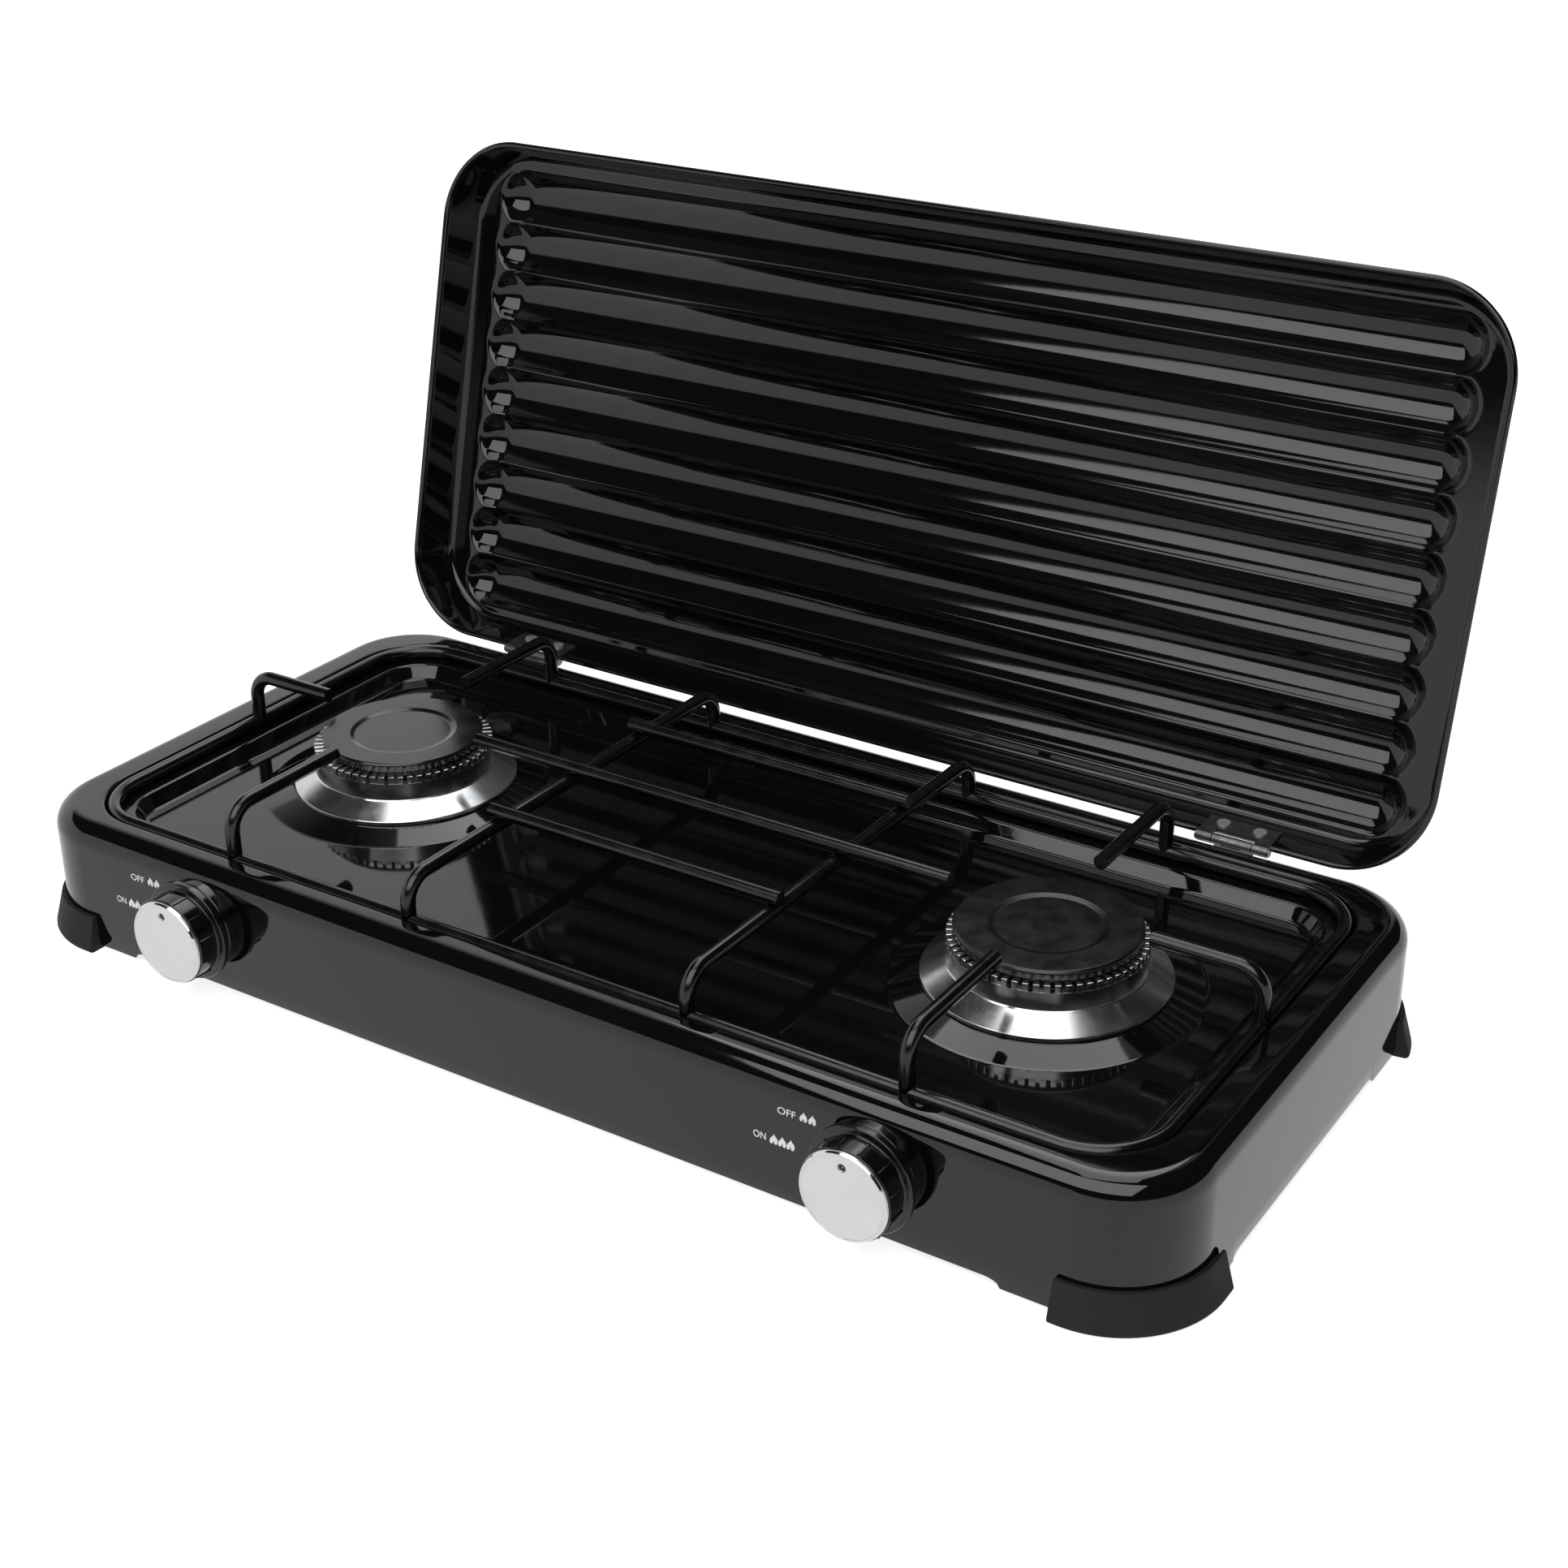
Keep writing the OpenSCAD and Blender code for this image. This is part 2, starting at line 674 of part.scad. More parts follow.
// Leaf on the body: the middle knuckle and a plate down the inside of the rear wall
module body_hinge_leaf(s) {
    slot_l = 9;
    top = hinge_z - knuckle_r + leaf_t + leaf_tuck;
    color(zinc) place() translate([s * hinge_x, 0, 0]) difference() {
        union() {
            rod_x([-knuckle_w / 2, hinge_y, hinge_z], knuckle_w, knuckle_r);
            translate([-knuckle_w / 2, hinge_y, top - leaf_t])
                cube([knuckle_w, rear_inside - hinge_y, leaf_t]);
            translate([-knuckle_w / 2, rear_inside - leaf_t, z_top - body_fillet - leaf_h])
                cube([knuckle_w, leaf_t, top - z_top + body_fillet + leaf_h]);
            translate([-hinge_w / 2, rear_inside - leaf_t, z_top - body_fillet - leaf_h])
                cube([hinge_w, leaf_t, leaf_h - 2]);
        }
        rod_x([-hinge_w, hinge_y, hinge_z], 2 * hinge_w, pin_r + run_fit);
        translate([0, hinge_y, hinge_z]) rotate([35, 0, 0]) translate([0, -knuckle_r, 0])
            cube([slot_l, 1, 1.2], center = true);
        for (k = [-1, 1])
            rod_y([k * rivet_pitch / 2, rear_inside - leaf_t - 1, z_body_rivet()], leaf_t + 2,
                rivet_r + run_fit);
    }
}
module body_hinge_leaf_left() {
    body_hinge_leaf(-1);
}
module body_hinge_leaf_right() {
    body_hinge_leaf(1);
}

// Hinge pin with two peened ends
module hinge_pin(s) {
    head_h = 0.6;
    head_r = pin_r + 0.7;
    color(zinc) place() translate([s * hinge_x, hinge_y, hinge_z]) {
        rod_x([-hinge_w / 2 - 0.1, 0, 0], hinge_w + 0.2, pin_r);
        for (k = [-1, 1])
            rod_x([k * (hinge_w / 2 + 0.1 + head_h / 2) - head_h / 2, 0, 0], head_h, head_r);
    }
}
module hinge_pin_left() {
    hinge_pin(-1);
}
module hinge_pin_right() {
    hinge_pin(1);
}

// Rivet along Y through a stack that starts at y = 0 and is deep thick
module rivet(deep) {
    rod_y([0, 0, 0], deep, rivet_r);
    rod_y([0, -rivet_head_h, 0], rivet_head_h, rivet_head_r);
    rod_y([0, deep, 0], rivet_head_h, rivet_head_r);
}
module lid_rivets() {
    color(zinc) place() opened() on_lid_wall()
        at_hinge_pairs() translate([0, -sheet_t - leaf_t, lid_rivet_up()]) rivet(sheet_t + leaf_t);
}
module body_rivets() {
    color(zinc) place()
        at_hinge_pairs() translate([0, rear_inside - leaf_t, z_body_rivet()]) rivet(sheet_t + leaf_t);
}

// Wire leg and arm: up from the frame's wire at the origin, round a bend and along -X to a tip
module finger(rise, reach) {
    rod_z([0, 0, 0], rise - leg_bend_r, wire_r);
    translate([-leg_bend_r, 0, rise - leg_bend_r])
        rotate([90, 0, 0]) rotate_extrude(angle = 90) translate([leg_bend_r, 0]) circle(r = wire_r);
    rod_x([-reach, 0, rise], reach - leg_bend_r, wire_r);
}

module grate_frame() {
    color(enamel) place() sweep_round(frame_w, frame_d, frame_r) translate([0, z_frame]) circle(r = wire_r);
}

// Bridge wire from the front of the frame to its back
module grate_bridge(s) {
    color(enamel) place() translate([s * bridge_x, 0, z_frame])
        for (turn = [90, -90])
            rotate([0, 0, turn]) translate([frame_d / 2, 0, 0]) finger(z_bridge - z_frame, frame_d / 2);
}
module grate_bridge_left() {
    grate_bridge(-1);
}
module grate_bridge_right() {
    grate_bridge(1);
}

module grate_cross_wires() {
    middle = burner_x - finger_free_r;
    outer = bridge_x + cross_over;
    color(enamel) place() {
        rod_x([-middle, 0, z_finger], 2 * middle, wire_r);
        for (s = [-1, 1]) rod_x([-outer, s * cross_y, z_finger], 2 * outer, wire_r);
    }
}

// Three fingers round a burner; the fourth is the end of the middle cross wire
module grate_fingers(s) {
    rise = z_finger - z_frame;
    color(enamel) place() translate([s * burner_x, 0, z_frame]) {
        for (turn = [90, -90])
            rotate([0, 0, turn]) translate([frame_d / 2, 0, 0])
                finger(rise, frame_d / 2 - finger_free_r);
        rotate([0, 0, s > 0 ? 0 : 180]) translate([frame_w / 2 - burner_x, 0, 0])
            finger(rise, frame_w / 2 - burner_x - finger_free_r);
    }
}
module grate_fingers_left() {
    grate_fingers(-1);
}
module grate_fingers_right() {
    grate_fingers(1);
}

// Cap that covers the crown, with a dished top and a ring that centres it
module burner_cap(s, r) {
    step = 0.8;
    top = z_crown + cap_h;
    ring_h = 2;
    color(enamel) place() translate([s * burner_x, 0, 0]) rotate_extrude()
        polygon([
            [0, z_crown],
            [crown_in - loose_fit - 2, z_crown],
            [crown_in - loose_fit - 2, z_crown - ring_h],
            [crown_in - loose_fit, z_crown - ring_h],
            [crown_in - loose_fit, z_crown],
            [r - 0.8, z_crown],
            [r, top - 1],
            [r - 0.8, top],
            [dish_r + 1.2, top - 0.2],
            [dish_r, top - step],
            [0, top - step]]);
}
module burner_cap_left() {
    burner_cap(-1, cap_r_left);
}
module burner_cap_right() {
    burner_cap(1, cap_r_right);
}

// Burner head: a skirt, a crown with flame slots and a seat on the cup's neck
module burner_head(s) {
    seat_t = 2.5;
    sleeve_r = neck_r + loose_fit;
    sleeve_h = 3;
    color(polished) place() translate([s * burner_x, 0, 0]) difference() {
        rotate_extrude()
            polygon([
                [skirt_r, z_lip],
                [skirt_r, z_lip + skirt_lip],
                [crown_r + 0.6, z_skirt],
                [crown_r, z_skirt],
                [crown_r, z_crown],
                [crown_in, z_crown],
                [crown_in, z_neck + seat_t],
                [neck_r - cup_t, z_neck + seat_t],
                [neck_r - cup_t, z_neck],
                [sleeve_r, z_neck],
                [sleeve_r, z_neck - sleeve_h],
                [sleeve_r + 2, z_neck - sleeve_h],
                [sleeve_r + 2, z_skirt - 1.6],
                [crown_r, z_skirt - 1.6],
                [skirt_r - 1.2, z_lip]]);
        for (i = [0:slot_n - 1])
            rotate([0, 0, i * 360 / slot_n])
                translate([crown_in - 1, -slot_w / 2, z_crown - (i % 2 == 0 ? slot_deep : slot_shallow)])
                    cube([crown_t + 2, slot_w, slot_deep + 1]);
    }
}
module burner_head_left() {
    burner_head(-1);
}
module burner_head_right() {
    burner_head(1);
}

// Burner cup under the well, with the mixing tube that points at its tap
module burner_cup(s, tap_x) {
    z_bottom = z_tap - mix_r - cup_t;
    color(zinc) place() difference() {
        union() {
            translate([s * burner_x, 0, 0]) {
                rod_z([0, 0, z_bottom], z_neck - z_bottom, neck_r);
                rod_z([0, 0, z_flange - flange_t], flange_t, flange_r);
            }
            rod_y([s * tap_x, -mix_reach, z_tap], mix_reach, mix_r);
            rod_y([s * tap_x, -mix_reach, z_tap], 3, mix_r + 2);
        }
        rod_z([s * burner_x, 0, z_bottom + cup_floor], z_neck - z_bottom, neck_r - cup_t);
        rod_y([s * tap_x, -mix_reach - 1, z_tap], mix_reach + 1, mix_r - cup_t);
        translate([s * burner_x, 0, 0]) at_cup_screws()
            rod_z([0, 0, z_flange - flange_t - 1], flange_t + 2, screw_r + run_fit);
    }
}
module burner_cup_left() {
    burner_cup(-1, tap_x_left);
}
module burner_cup_right() {
    burner_cup(1, tap_x_right);
}

// Three pan-head screws for each cup, from the top of the well
module cup_screws() {
    head_h = 2;
    color(zinc) place() for (s = [-1, 1])
        translate([s * burner_x, 0, 0]) at_cup_screws() {
            rod_z([0, 0, z_flange - flange_t - 1], flange_t + sheet_t + 1, screw_r);
            rod_z([0, 0, z_cone], head_h, 2 * screw_r);
        }
}

// Injector screwed into the back of a tap
module injector(x) {
    color(brass) place() difference() {
        union() {
            rod_y([x, y_tap_back - 3, z_tap], 3, 2.9);
            translate([x, y_tap_back, z_tap]) rotate([-90, 0, 0]) cylinder(h = 4, r = 4.6, $fn = 6);
            rod_y([x, y_tap_back + 4, z_tap], injector_l - 4, 2.6);
        }
        rod_y([x, y_tap_back - 4, z_tap], injector_l + 5, 0.6);
    }
}
module injector_left() {
    injector(-tap_x_left);
}
module injector_right() {
    injector(tap_x_right);
}

// Gas rail and supply pipe in one bent tube, closed at its right end
module rail_run(r, x_end) {
    y_bend = y_rail + rail_bend_r;
    rod_x([rail_bend_r - supply_x, y_rail, z_rail], x_end + supply_x - rail_bend_r, r);
    translate([rail_bend_r - supply_x, y_bend, z_rail])
        rotate([0, 0, 180]) rotate_extrude(angle = 90) translate([rail_bend_r, 0]) circle(r = r);
}
module gas_rail() {
    y_bend = y_rail + rail_bend_r;
    x_end = tap_x_right + 18;
    color(zinc) place() difference() {
        union() {
            rail_run(rail_r, x_end);
            rod_y([-supply_x, y_bend, z_rail], y_pipe_end() - y_bend, rail_r);
        }
        rail_run(rail_r - rail_t, x_end - 2);
        rod_y([-supply_x, y_bend, z_rail], y_pipe_end() + 1 - y_bend, rail_r - rail_t);
        for (x = [-tap_x_left, tap_x_right])
            rod_z([x, y_rail, z_rail], rail_r + 1, inlet_r() + run_fit);
    }
}

// Back end of the supply pipe, inside the hose nozzle's socket
function y_pipe_end() = rear_inside - 4;

// Radius of the nipple that leads from the rail into a tap
function inlet_r() = rail_r - rail_t - 1.4;

// Tap body: threaded neck through the front wall, plug bore and saddle on the rail
module tap_body(x) {
    block_w = 18;
    block_half = rail_r + 5;
    z_block = z_rail + 0.4;
    color(brass) place() difference() {
        union() {
            rod_y([x, y_inside, z_tap], tap_len, tap_r);
            rod_y([x, y_thread, z_tap], y_inside - y_thread, thread_r);
            translate([x - block_w / 2, y_rail - block_half, z_block])
                cube([block_w, 2 * block_half, z_tap - z_block]);
            translate([x - block_w / 2, y_rail - saddle_half, z_block])
                cube([block_w, 2 * saddle_half, saddle_h]);
            rod_z([x, y_rail, z_rail + rail_r - rail_t - 1], rail_below, inlet_r());
        }
        rod_y([x, y_thread - 1, z_tap], thread_wall + 2, spindle_r + run_fit);
        rod_y([x, y_thread + thread_wall, z_tap], y_plug + plug_len + loose_fit - y_thread - thread_wall,
            bore_r + run_fit);
        rod_y([x, y_plug, z_tap], tap_len, 1.2);
        rod_y([x, y_tap_back - 4, z_tap], 5, 2.9 + run_fit);
        rail_saddle(x, block_w);
        rod_z([x, y_rail, z_rail], rail_below, inlet_r() - 1.2);
        at_strap_screws(x) rod_z([0, 0, z_rail], saddle_h - 1.5, strap_screw_r + run_fit);
    }
}

// Round seat for the rail, clear of the nipple that enters it
module rail_saddle(x, w) {
    difference() {
        rod_x([x - w, y_rail, z_rail], 2 * w, rail_r + run_fit);
        rod_z([x, y_rail, z_rail], rail_r + 1, inlet_r());
    }
}

// Places its children at the two screws of a rail strap
module at_strap_screws(x) {
    for (k = [-1, 1])
        translate([x, y_rail + k * strap_screw_y, 0]) children();
}
module tap_body_left() {
    tap_body(-tap_x_left);
}
module tap_body_right() {
    tap_body(tap_x_right);
}

// Strap under the rail that clamps each tap's saddle to it
module tap_straps() {
    w = 10;
    color(zinc) place() for (x = [-tap_x_left, tap_x_right]) difference() {
        union() {
            rod_x([x - w / 2, y_rail, z_rail], w, rail_r + run_fit + strap_t);
            translate([x - w / 2, y_rail - saddle_half, z_rail - strap_t])
                cube([w, 2 * saddle_half, strap_t]);
        }
        rod_x([x - w, y_rail, z_rail], 2 * w, rail_r + run_fit);
        translate([x - w, y_rail - 2 * saddle_half, z_rail]) cube([2 * w, 4 * saddle_half, 2 * rail_r]);
        at_strap_screws(x) rod_z([0, 0, z_rail - strap_t - 1], strap_t + 2, strap_screw_r + run_fit);
    }
}
module strap_screws() {
    head_h = 1.8;
    color(zinc) place() for (x = [-tap_x_left, tap_x_right]) at_strap_screws(x) {
        rod_z([0, 0, z_rail - strap_t], strap_t + saddle_h - 2.5, strap_screw_r);
        rod_z([0, 0, z_rail - strap_t - head_h], head_h, strap_head_r);
    }
}

// Plug that turns in the tap: its side port meets the rail's nipple when the tap is open
module tap_plug(x) {
    port_r = 1;
    color(brass) place() difference() {
        rod_y([x, y_plug, z_tap], plug_len, bore_r);
        flat_rod([x, y_plug - 1, z_tap], 1 + spindle_in() + push_travel + 0.4,
            spindle_r + run_fit, spindle_flat() + run_fit);
        rod_x([x - bore_r - 1, y_rail, z_tap], bore_r + 1, port_r);
        rod_y([x, y_rail, z_tap], plug_len, port_r);
    }
}
module tap_plug_left() {
    tap_plug(-tap_x_left);
}
module tap_plug_right() {
    tap_plug(tap_x_right);
}

// Length of the spindle inside the plug, with the knob out
function spindle_in() = 3.4;

// Height of the spindle's flat above its axis
function spindle_flat() = 0.6 * spindle_r;

// Spindle with the collar that its spring pushes on
module tap_spindle(x) {
    hub = y_thread - push_travel - y_spindle;
    color(zinc) place() {
        flat_rod([x, y_spindle, z_tap], hub, spindle_r, spindle_flat());
        rod_y([x, y_spindle + hub, z_tap], y_collar() - y_spindle - hub, spindle_r);
        rod_y([x, y_collar(), z_tap], 1.5, bore_r - 0.3);
        flat_rod([x, y_collar() + 1.5, z_tap], y_plug + spindle_in() - y_collar() - 1.5,
            spindle_r, spindle_flat());
    }
}

// Front of the spindle's collar, against the end wall of the tap's neck
function y_collar() = y_thread + thread_wall + 0.05;
module tap_spindle_left() {
    tap_spindle(-tap_x_left);
}
module tap_spindle_right() {
    tap_spindle(tap_x_right);
}

// Return spring at its pressed length, standing on the spindle's collar
module tap_spring(x) {
    wire = 0.4;
    coil_r = spindle_r + 1;
    turns = 3;
    start = y_collar() + 1.5;
    coil_l = y_plug - push_travel - 0.4 - start;
    half = 360 * wire * turns / coil_l;
    color(zinc) place() translate([x, start, z_tap]) rotate([-90, 0, 0])
        linear_extrude(coil_l, twist = -360 * turns, slices = 16 * turns, $fn = 8)
            polygon([for (k = [0:15]) let (r = coil_r + wire * sin(22.5 * k), a = half * cos(22.5 * k))
                [r * cos(a), r * sin(a)]]);
}
module tap_spring_left() {
    tap_spring(-tap_x_left);
}
module tap_spring_right() {
    tap_spring(tap_x_right);
}

// Nut that clamps the tap to the front wall
module tap_nut(x) {
    color(zinc) place() difference() {
        translate([x, y_front, z_tap]) rotate([90, 0, 0]) cylinder(h = nut_h, r = nut_r, $fn = 6);
        rod_y([x, y_front - nut_h - 1, z_tap], nut_h + 2, thread_r + run_fit);
    }
}
module tap_nut_left() {
    tap_nut(-tap_x_left);
}
module tap_nut_right() {
    tap_nut(tap_x_right);
}

// Collar on the front wall that hides the nut
module knob_collar(x) {
    t = 1.5;
    color(plastic) place() difference() {
        rod_y([x, y_front - collar_h, z_tap], collar_h, collar_r);
        rod_y([x, y_front - collar_h + t, z_tap], collar_h, collar_r - t);
        rod_y([x, y_front - collar_h - 1, z_tap], collar_h, thread_r + loose_fit);
    }
}
module knob_collar_left() {
    knob_collar(-tap_x_left);
}
module knob_collar_right() {
    knob_collar(tap_x_right);
}

// Knob: ribbed barrel, flange that slides over the collar, and a hub on the spindle
module knob_barrel(x) {
    rib_count = 12;
    rib_h = 0.5;
    wall = 2;
    front = y_face + face_t;
    hub_back = y_thread - push_travel - 0.3;
    color(plastic) place() difference() {
        union() {
            rod_y([x, front, z_tap], y_flare - front, barrel_r);
            rod_y([x, y_flare - flare_h, z_tap], flare_h, flare_r);
            for (i = [0:rib_count - 1])
                translate([x, 0, z_tap]) rotate([0, 15 + i * 360 / rib_count, 0])
                    translate([-0.4, front + 1, 0]) cube([0.8, y_flare - 1 - front - 1, barrel_r + rib_h]);
        }
        difference() {
            rod_y([x, front + wall, z_tap], y_flare - front, barrel_r - wall);
            rod_y([x, front, z_tap], hub_back - front, spindle_r + 3);
        }
        rod_y([x, y_flare - flare_h + 0.8, z_tap], flare_h, collar_r + 0.4);
        flat_rod([x, y_spindle - 0.1, z_tap], y_flare - y_spindle, spindle_r + run_fit,
            spindle_flat() + run_fit);
    }
}
module knob_barrel_left() {
    knob_barrel(-tap_x_left);
}
module knob_barrel_right() {
    knob_barrel(tap_x_right);
}

// Metal face on the knob, with a bevelled edge and a pointer dimple
module knob_face(x) {
    bevel = 0.9;
    dimple_r = 1.7;
    dimple_up = face_r - 5.6;
    color(silver) place() difference() {
        translate([x, y_face + face_t, z_tap]) rotate([90, 0, 0]) rotate_extrude()
            polygon([[0, 0], [face_r, 0], [face_r, face_t - bevel], [face_r - bevel, face_t], [0, face_t]]);
        rod_y([x, y_face - 1, z_tap + dimple_up], 1.7, dimple_r);
    }
}
module knob_face_left() {
    knob_face(-tap_x_left);
}
module knob_face_right() {
    knob_face(tap_x_right);
}

// Hose nozzle: socket for the supply pipe, thread through the rear wall and ridged tail
module hose_nozzle() {
    shoulder_r = nozzle_thread_r() + 2.5;
    shoulder_l = 8;
    ridge_n = 3;
    ridge_l = 4.5;
    shank = 8;
    y_tail = body_d / 2 + shank;
    tail = tail_len - shank;
    color(brass) place() difference() {
        union() {
            rod_y([-supply_x, rear_inside - shoulder_l, z_rail], shoulder_l, shoulder_r);
            rod_y([-supply_x, rear_inside, z_rail], y_tail - rear_inside, nozzle_thread_r());
            rod_y([-supply_x, y_tail, z_rail], tail, tail_r);
            for (i = [0:ridge_n - 1])
                translate([-supply_x, y_tail + 0.5 + i * ridge_l, z_rail])
                    rotate([-90, 0, 0]) cylinder(h = ridge_l - 1, r1 = tail_r + 0.6, r2 = tail_r);
        }
        rod_y([-supply_x, rear_inside - shoulder_l - 1, z_rail], 1 + shoulder_l - 4, rail_r + run_fit);
        rod_y([-supply_x, rear_inside - shoulder_l, z_rail], shoulder_l + tail_len + 2, tail_r - 1.4);
    }
}

// Sealing washer and nut on the outside of the rear wall
module nozzle_seal() {
    color(rubber) place() difference() {
        rod_y([-supply_x, body_d / 2, z_rail], 1.5, nozzle_thread_r() + 3.4);
        rod_y([-supply_x, body_d / 2 - 1, z_rail], 4, nozzle_thread_r() + run_fit);
    }
}
module nozzle_nut() {
    color(brass) place() difference() {
        translate([-supply_x, body_d / 2 + 1.5, z_rail]) rotate([-90, 0, 0])
            cylinder(h = 4.5, r = nozzle_thread_r() + 3.4, $fn = 6);
        rod_y([-supply_x, body_d / 2, z_rail], 8, nozzle_thread_r() + run_fit);
    }
}

body_shell();
foot_front_left();
foot_front_right();
foot_rear_left();
foot_rear_right();
lid_pan();
lid_hinge_leaf_left();
lid_hinge_leaf_right();
body_hinge_leaf_left();
body_hinge_leaf_right();
hinge_pin_left();
hinge_pin_right();
lid_rivets();
body_rivets();
grate_frame();
grate_bridge_left();
grate_bridge_right();
grate_cross_wires();
grate_fingers_left();
grate_fingers_right();
burner_cap_left();
burner_cap_right();
burner_head_left();
burner_head_right();
burner_cup_left();
burner_cup_right();
cup_screws();
injector_left();
injector_right();
gas_rail();
tap_body_left();
tap_body_right();
tap_straps();
strap_screws();
tap_plug_left();
tap_plug_right();
tap_spindle_left();
tap_spindle_right();
tap_spring_left();
tap_spring_right();
tap_nut_left();
tap_nut_right();
knob_collar_left();
knob_collar_right();
knob_barrel_left();
knob_barrel_right();
knob_face_left();
knob_face_right();
hose_nozzle();
nozzle_nut();
nozzle_seal();
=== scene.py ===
"""Two-burner gas hob with a ribbed lid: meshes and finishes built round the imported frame."""

from __future__ import annotations

import logging
import math
from dataclasses import dataclass
from enum import Enum, StrEnum
from typing import Callable, Iterable, Sequence

import bmesh
import bpy
import numpy as np
from mathutils import Matrix, Vector


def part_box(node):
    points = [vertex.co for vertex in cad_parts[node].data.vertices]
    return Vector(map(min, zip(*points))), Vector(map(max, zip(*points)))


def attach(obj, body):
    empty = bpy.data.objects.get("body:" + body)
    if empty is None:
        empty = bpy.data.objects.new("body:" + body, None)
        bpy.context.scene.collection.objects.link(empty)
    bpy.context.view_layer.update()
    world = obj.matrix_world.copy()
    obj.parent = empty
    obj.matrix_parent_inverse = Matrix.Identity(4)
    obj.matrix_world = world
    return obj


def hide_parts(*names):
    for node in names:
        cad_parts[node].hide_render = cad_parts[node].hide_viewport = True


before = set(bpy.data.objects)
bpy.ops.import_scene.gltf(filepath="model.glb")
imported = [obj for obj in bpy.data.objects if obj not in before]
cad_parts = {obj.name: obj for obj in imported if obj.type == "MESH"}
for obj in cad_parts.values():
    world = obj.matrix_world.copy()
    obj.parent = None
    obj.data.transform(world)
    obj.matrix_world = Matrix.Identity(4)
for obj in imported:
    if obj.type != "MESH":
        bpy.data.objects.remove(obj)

log = logging.getLogger("hob")
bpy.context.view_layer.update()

MM = 0.001
MERGE_MM = 0.001
NEAR_MIDDLE = 0.001
TAU = 2 * math.pi
Point = tuple[float, float, float]
Pair = tuple[float, float]
Ramp = tuple[float, float, float, float]


class Side(StrEnum):
    """Side of the hob, seen from the front."""

    LEFT = "left"
    RIGHT = "right"

    @property
    def sign(self) -> int:
        """Sign of X on this side."""
        return 1 if self is Side.RIGHT else -1


class Axis(Enum):
    """Axis that a turned shape stands on."""

    UP = "up"
    FORWARD = "towards the front"


# ---------------------------------------------------------------- sizes


@dataclass(frozen=True)
class HobSizes:
    """Sizes that several sub-assemblies share, in millimetres, from the middle of the body shell."""

    body_w: float = 530.0
    body_d: float = 241.0
    body_r: float = 36.0
    fillet: float = 9.0
    sheet: float = 0.8
    z_low: float = 1.8
    z_wall: float = 4.8
    z_top: float = 56.2
    z_ledge: float = 50.8
    z_floor: float = 44.6
    z_cone: float = 48.1
    z_tap: float = 32.0
    wire_r: float = 3.0
    frame_w: float = 486.8
    frame_d: float = 206.0
    frame_r: float = 28.0
    burner_x: float = 157.2
    tap_x_left: float = -161.5
    tap_x_right: float = 154.5
    hinge_x: float = 180.0
    hinge_w: float = 31.0

    @property
    def front(self) -> float:
        """Plane of the front wall."""
        return -self.body_d / 2


HOB = HobSizes()
BODY_LOW, BODY_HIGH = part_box("body_shell")
SHIFT_Y = (BODY_LOW.y + BODY_HIGH.y) / 2 / MM


def placed(point: Sequence[float]) -> Vector:
    """Turn a point of the hob, in millimetres from the body's middle, into the row frame in metres.

    Args:
        point: X, Y and Z in millimetres.

    Returns:
        The same point in metres.
    """
    return Vector((point[0] * MM, (point[1] + SHIFT_Y) * MM, point[2] * MM))


# ---------------------------------------------------------------- node helpers


def linear(hex_colour: str) -> Ramp:
    """Turn an sRGB hex colour into linear RGBA.

    Args:
        hex_colour: Six hex digits.

    Returns:
        Linear red, green, blue and an alpha of 1.
    """
    channels = [int(hex_colour[i : i + 2], 16) / 255 for i in (0, 2, 4)]
    red, green, blue = (c / 12.92 if c <= 0.04045 else ((c + 0.055) / 1.055) ** 2.4 for c in channels)
    return (red, green, blue, 1.0)


def add(tree: bpy.types.NodeTree, kind: str, inputs: dict | None = None, **settings: object) -> bpy.types.Node:
    """Add a node with its settings and links.

    Args:
        tree: Node tree to add to.
        kind: The node's type name.
        inputs: Input name or index to a value, or to a socket that is linked to it.
        settings: Properties of the node.

    Returns:
        The new node.
    """
    node = tree.nodes.new(kind)
    for key, value in settings.items():
        setattr(node, key, value)
    for key, value in (inputs or {}).items():
        socket = node.inputs[key]
        if isinstance(value, bpy.types.NodeSocket):
            tree.links.new(value, socket)
        else:
            socket.default_value = value
    return node


def per_mm(size_mm: float) -> float:
    """Scale of a procedural pattern whose features are size_mm wide, on Object coordinates in metres."""
    return 1.0 / (size_mm * MM)


def ramp(*ends: float) -> dict[str, float]:
    """Name the ends of a Map Range: from min, from max, to min and to max."""
    return dict(zip(("From Min", "From Max", "To Min", "To Max"), ends))


# ---------------------------------------------------------------- finishes


class Direction(Enum):
    """Way in which a surface was worked, with the two axes across it."""

    NONE = ""
    ROUND_Z = "XY"
    ROUND_Y = "XZ"
    ALONG_X = "YZ"


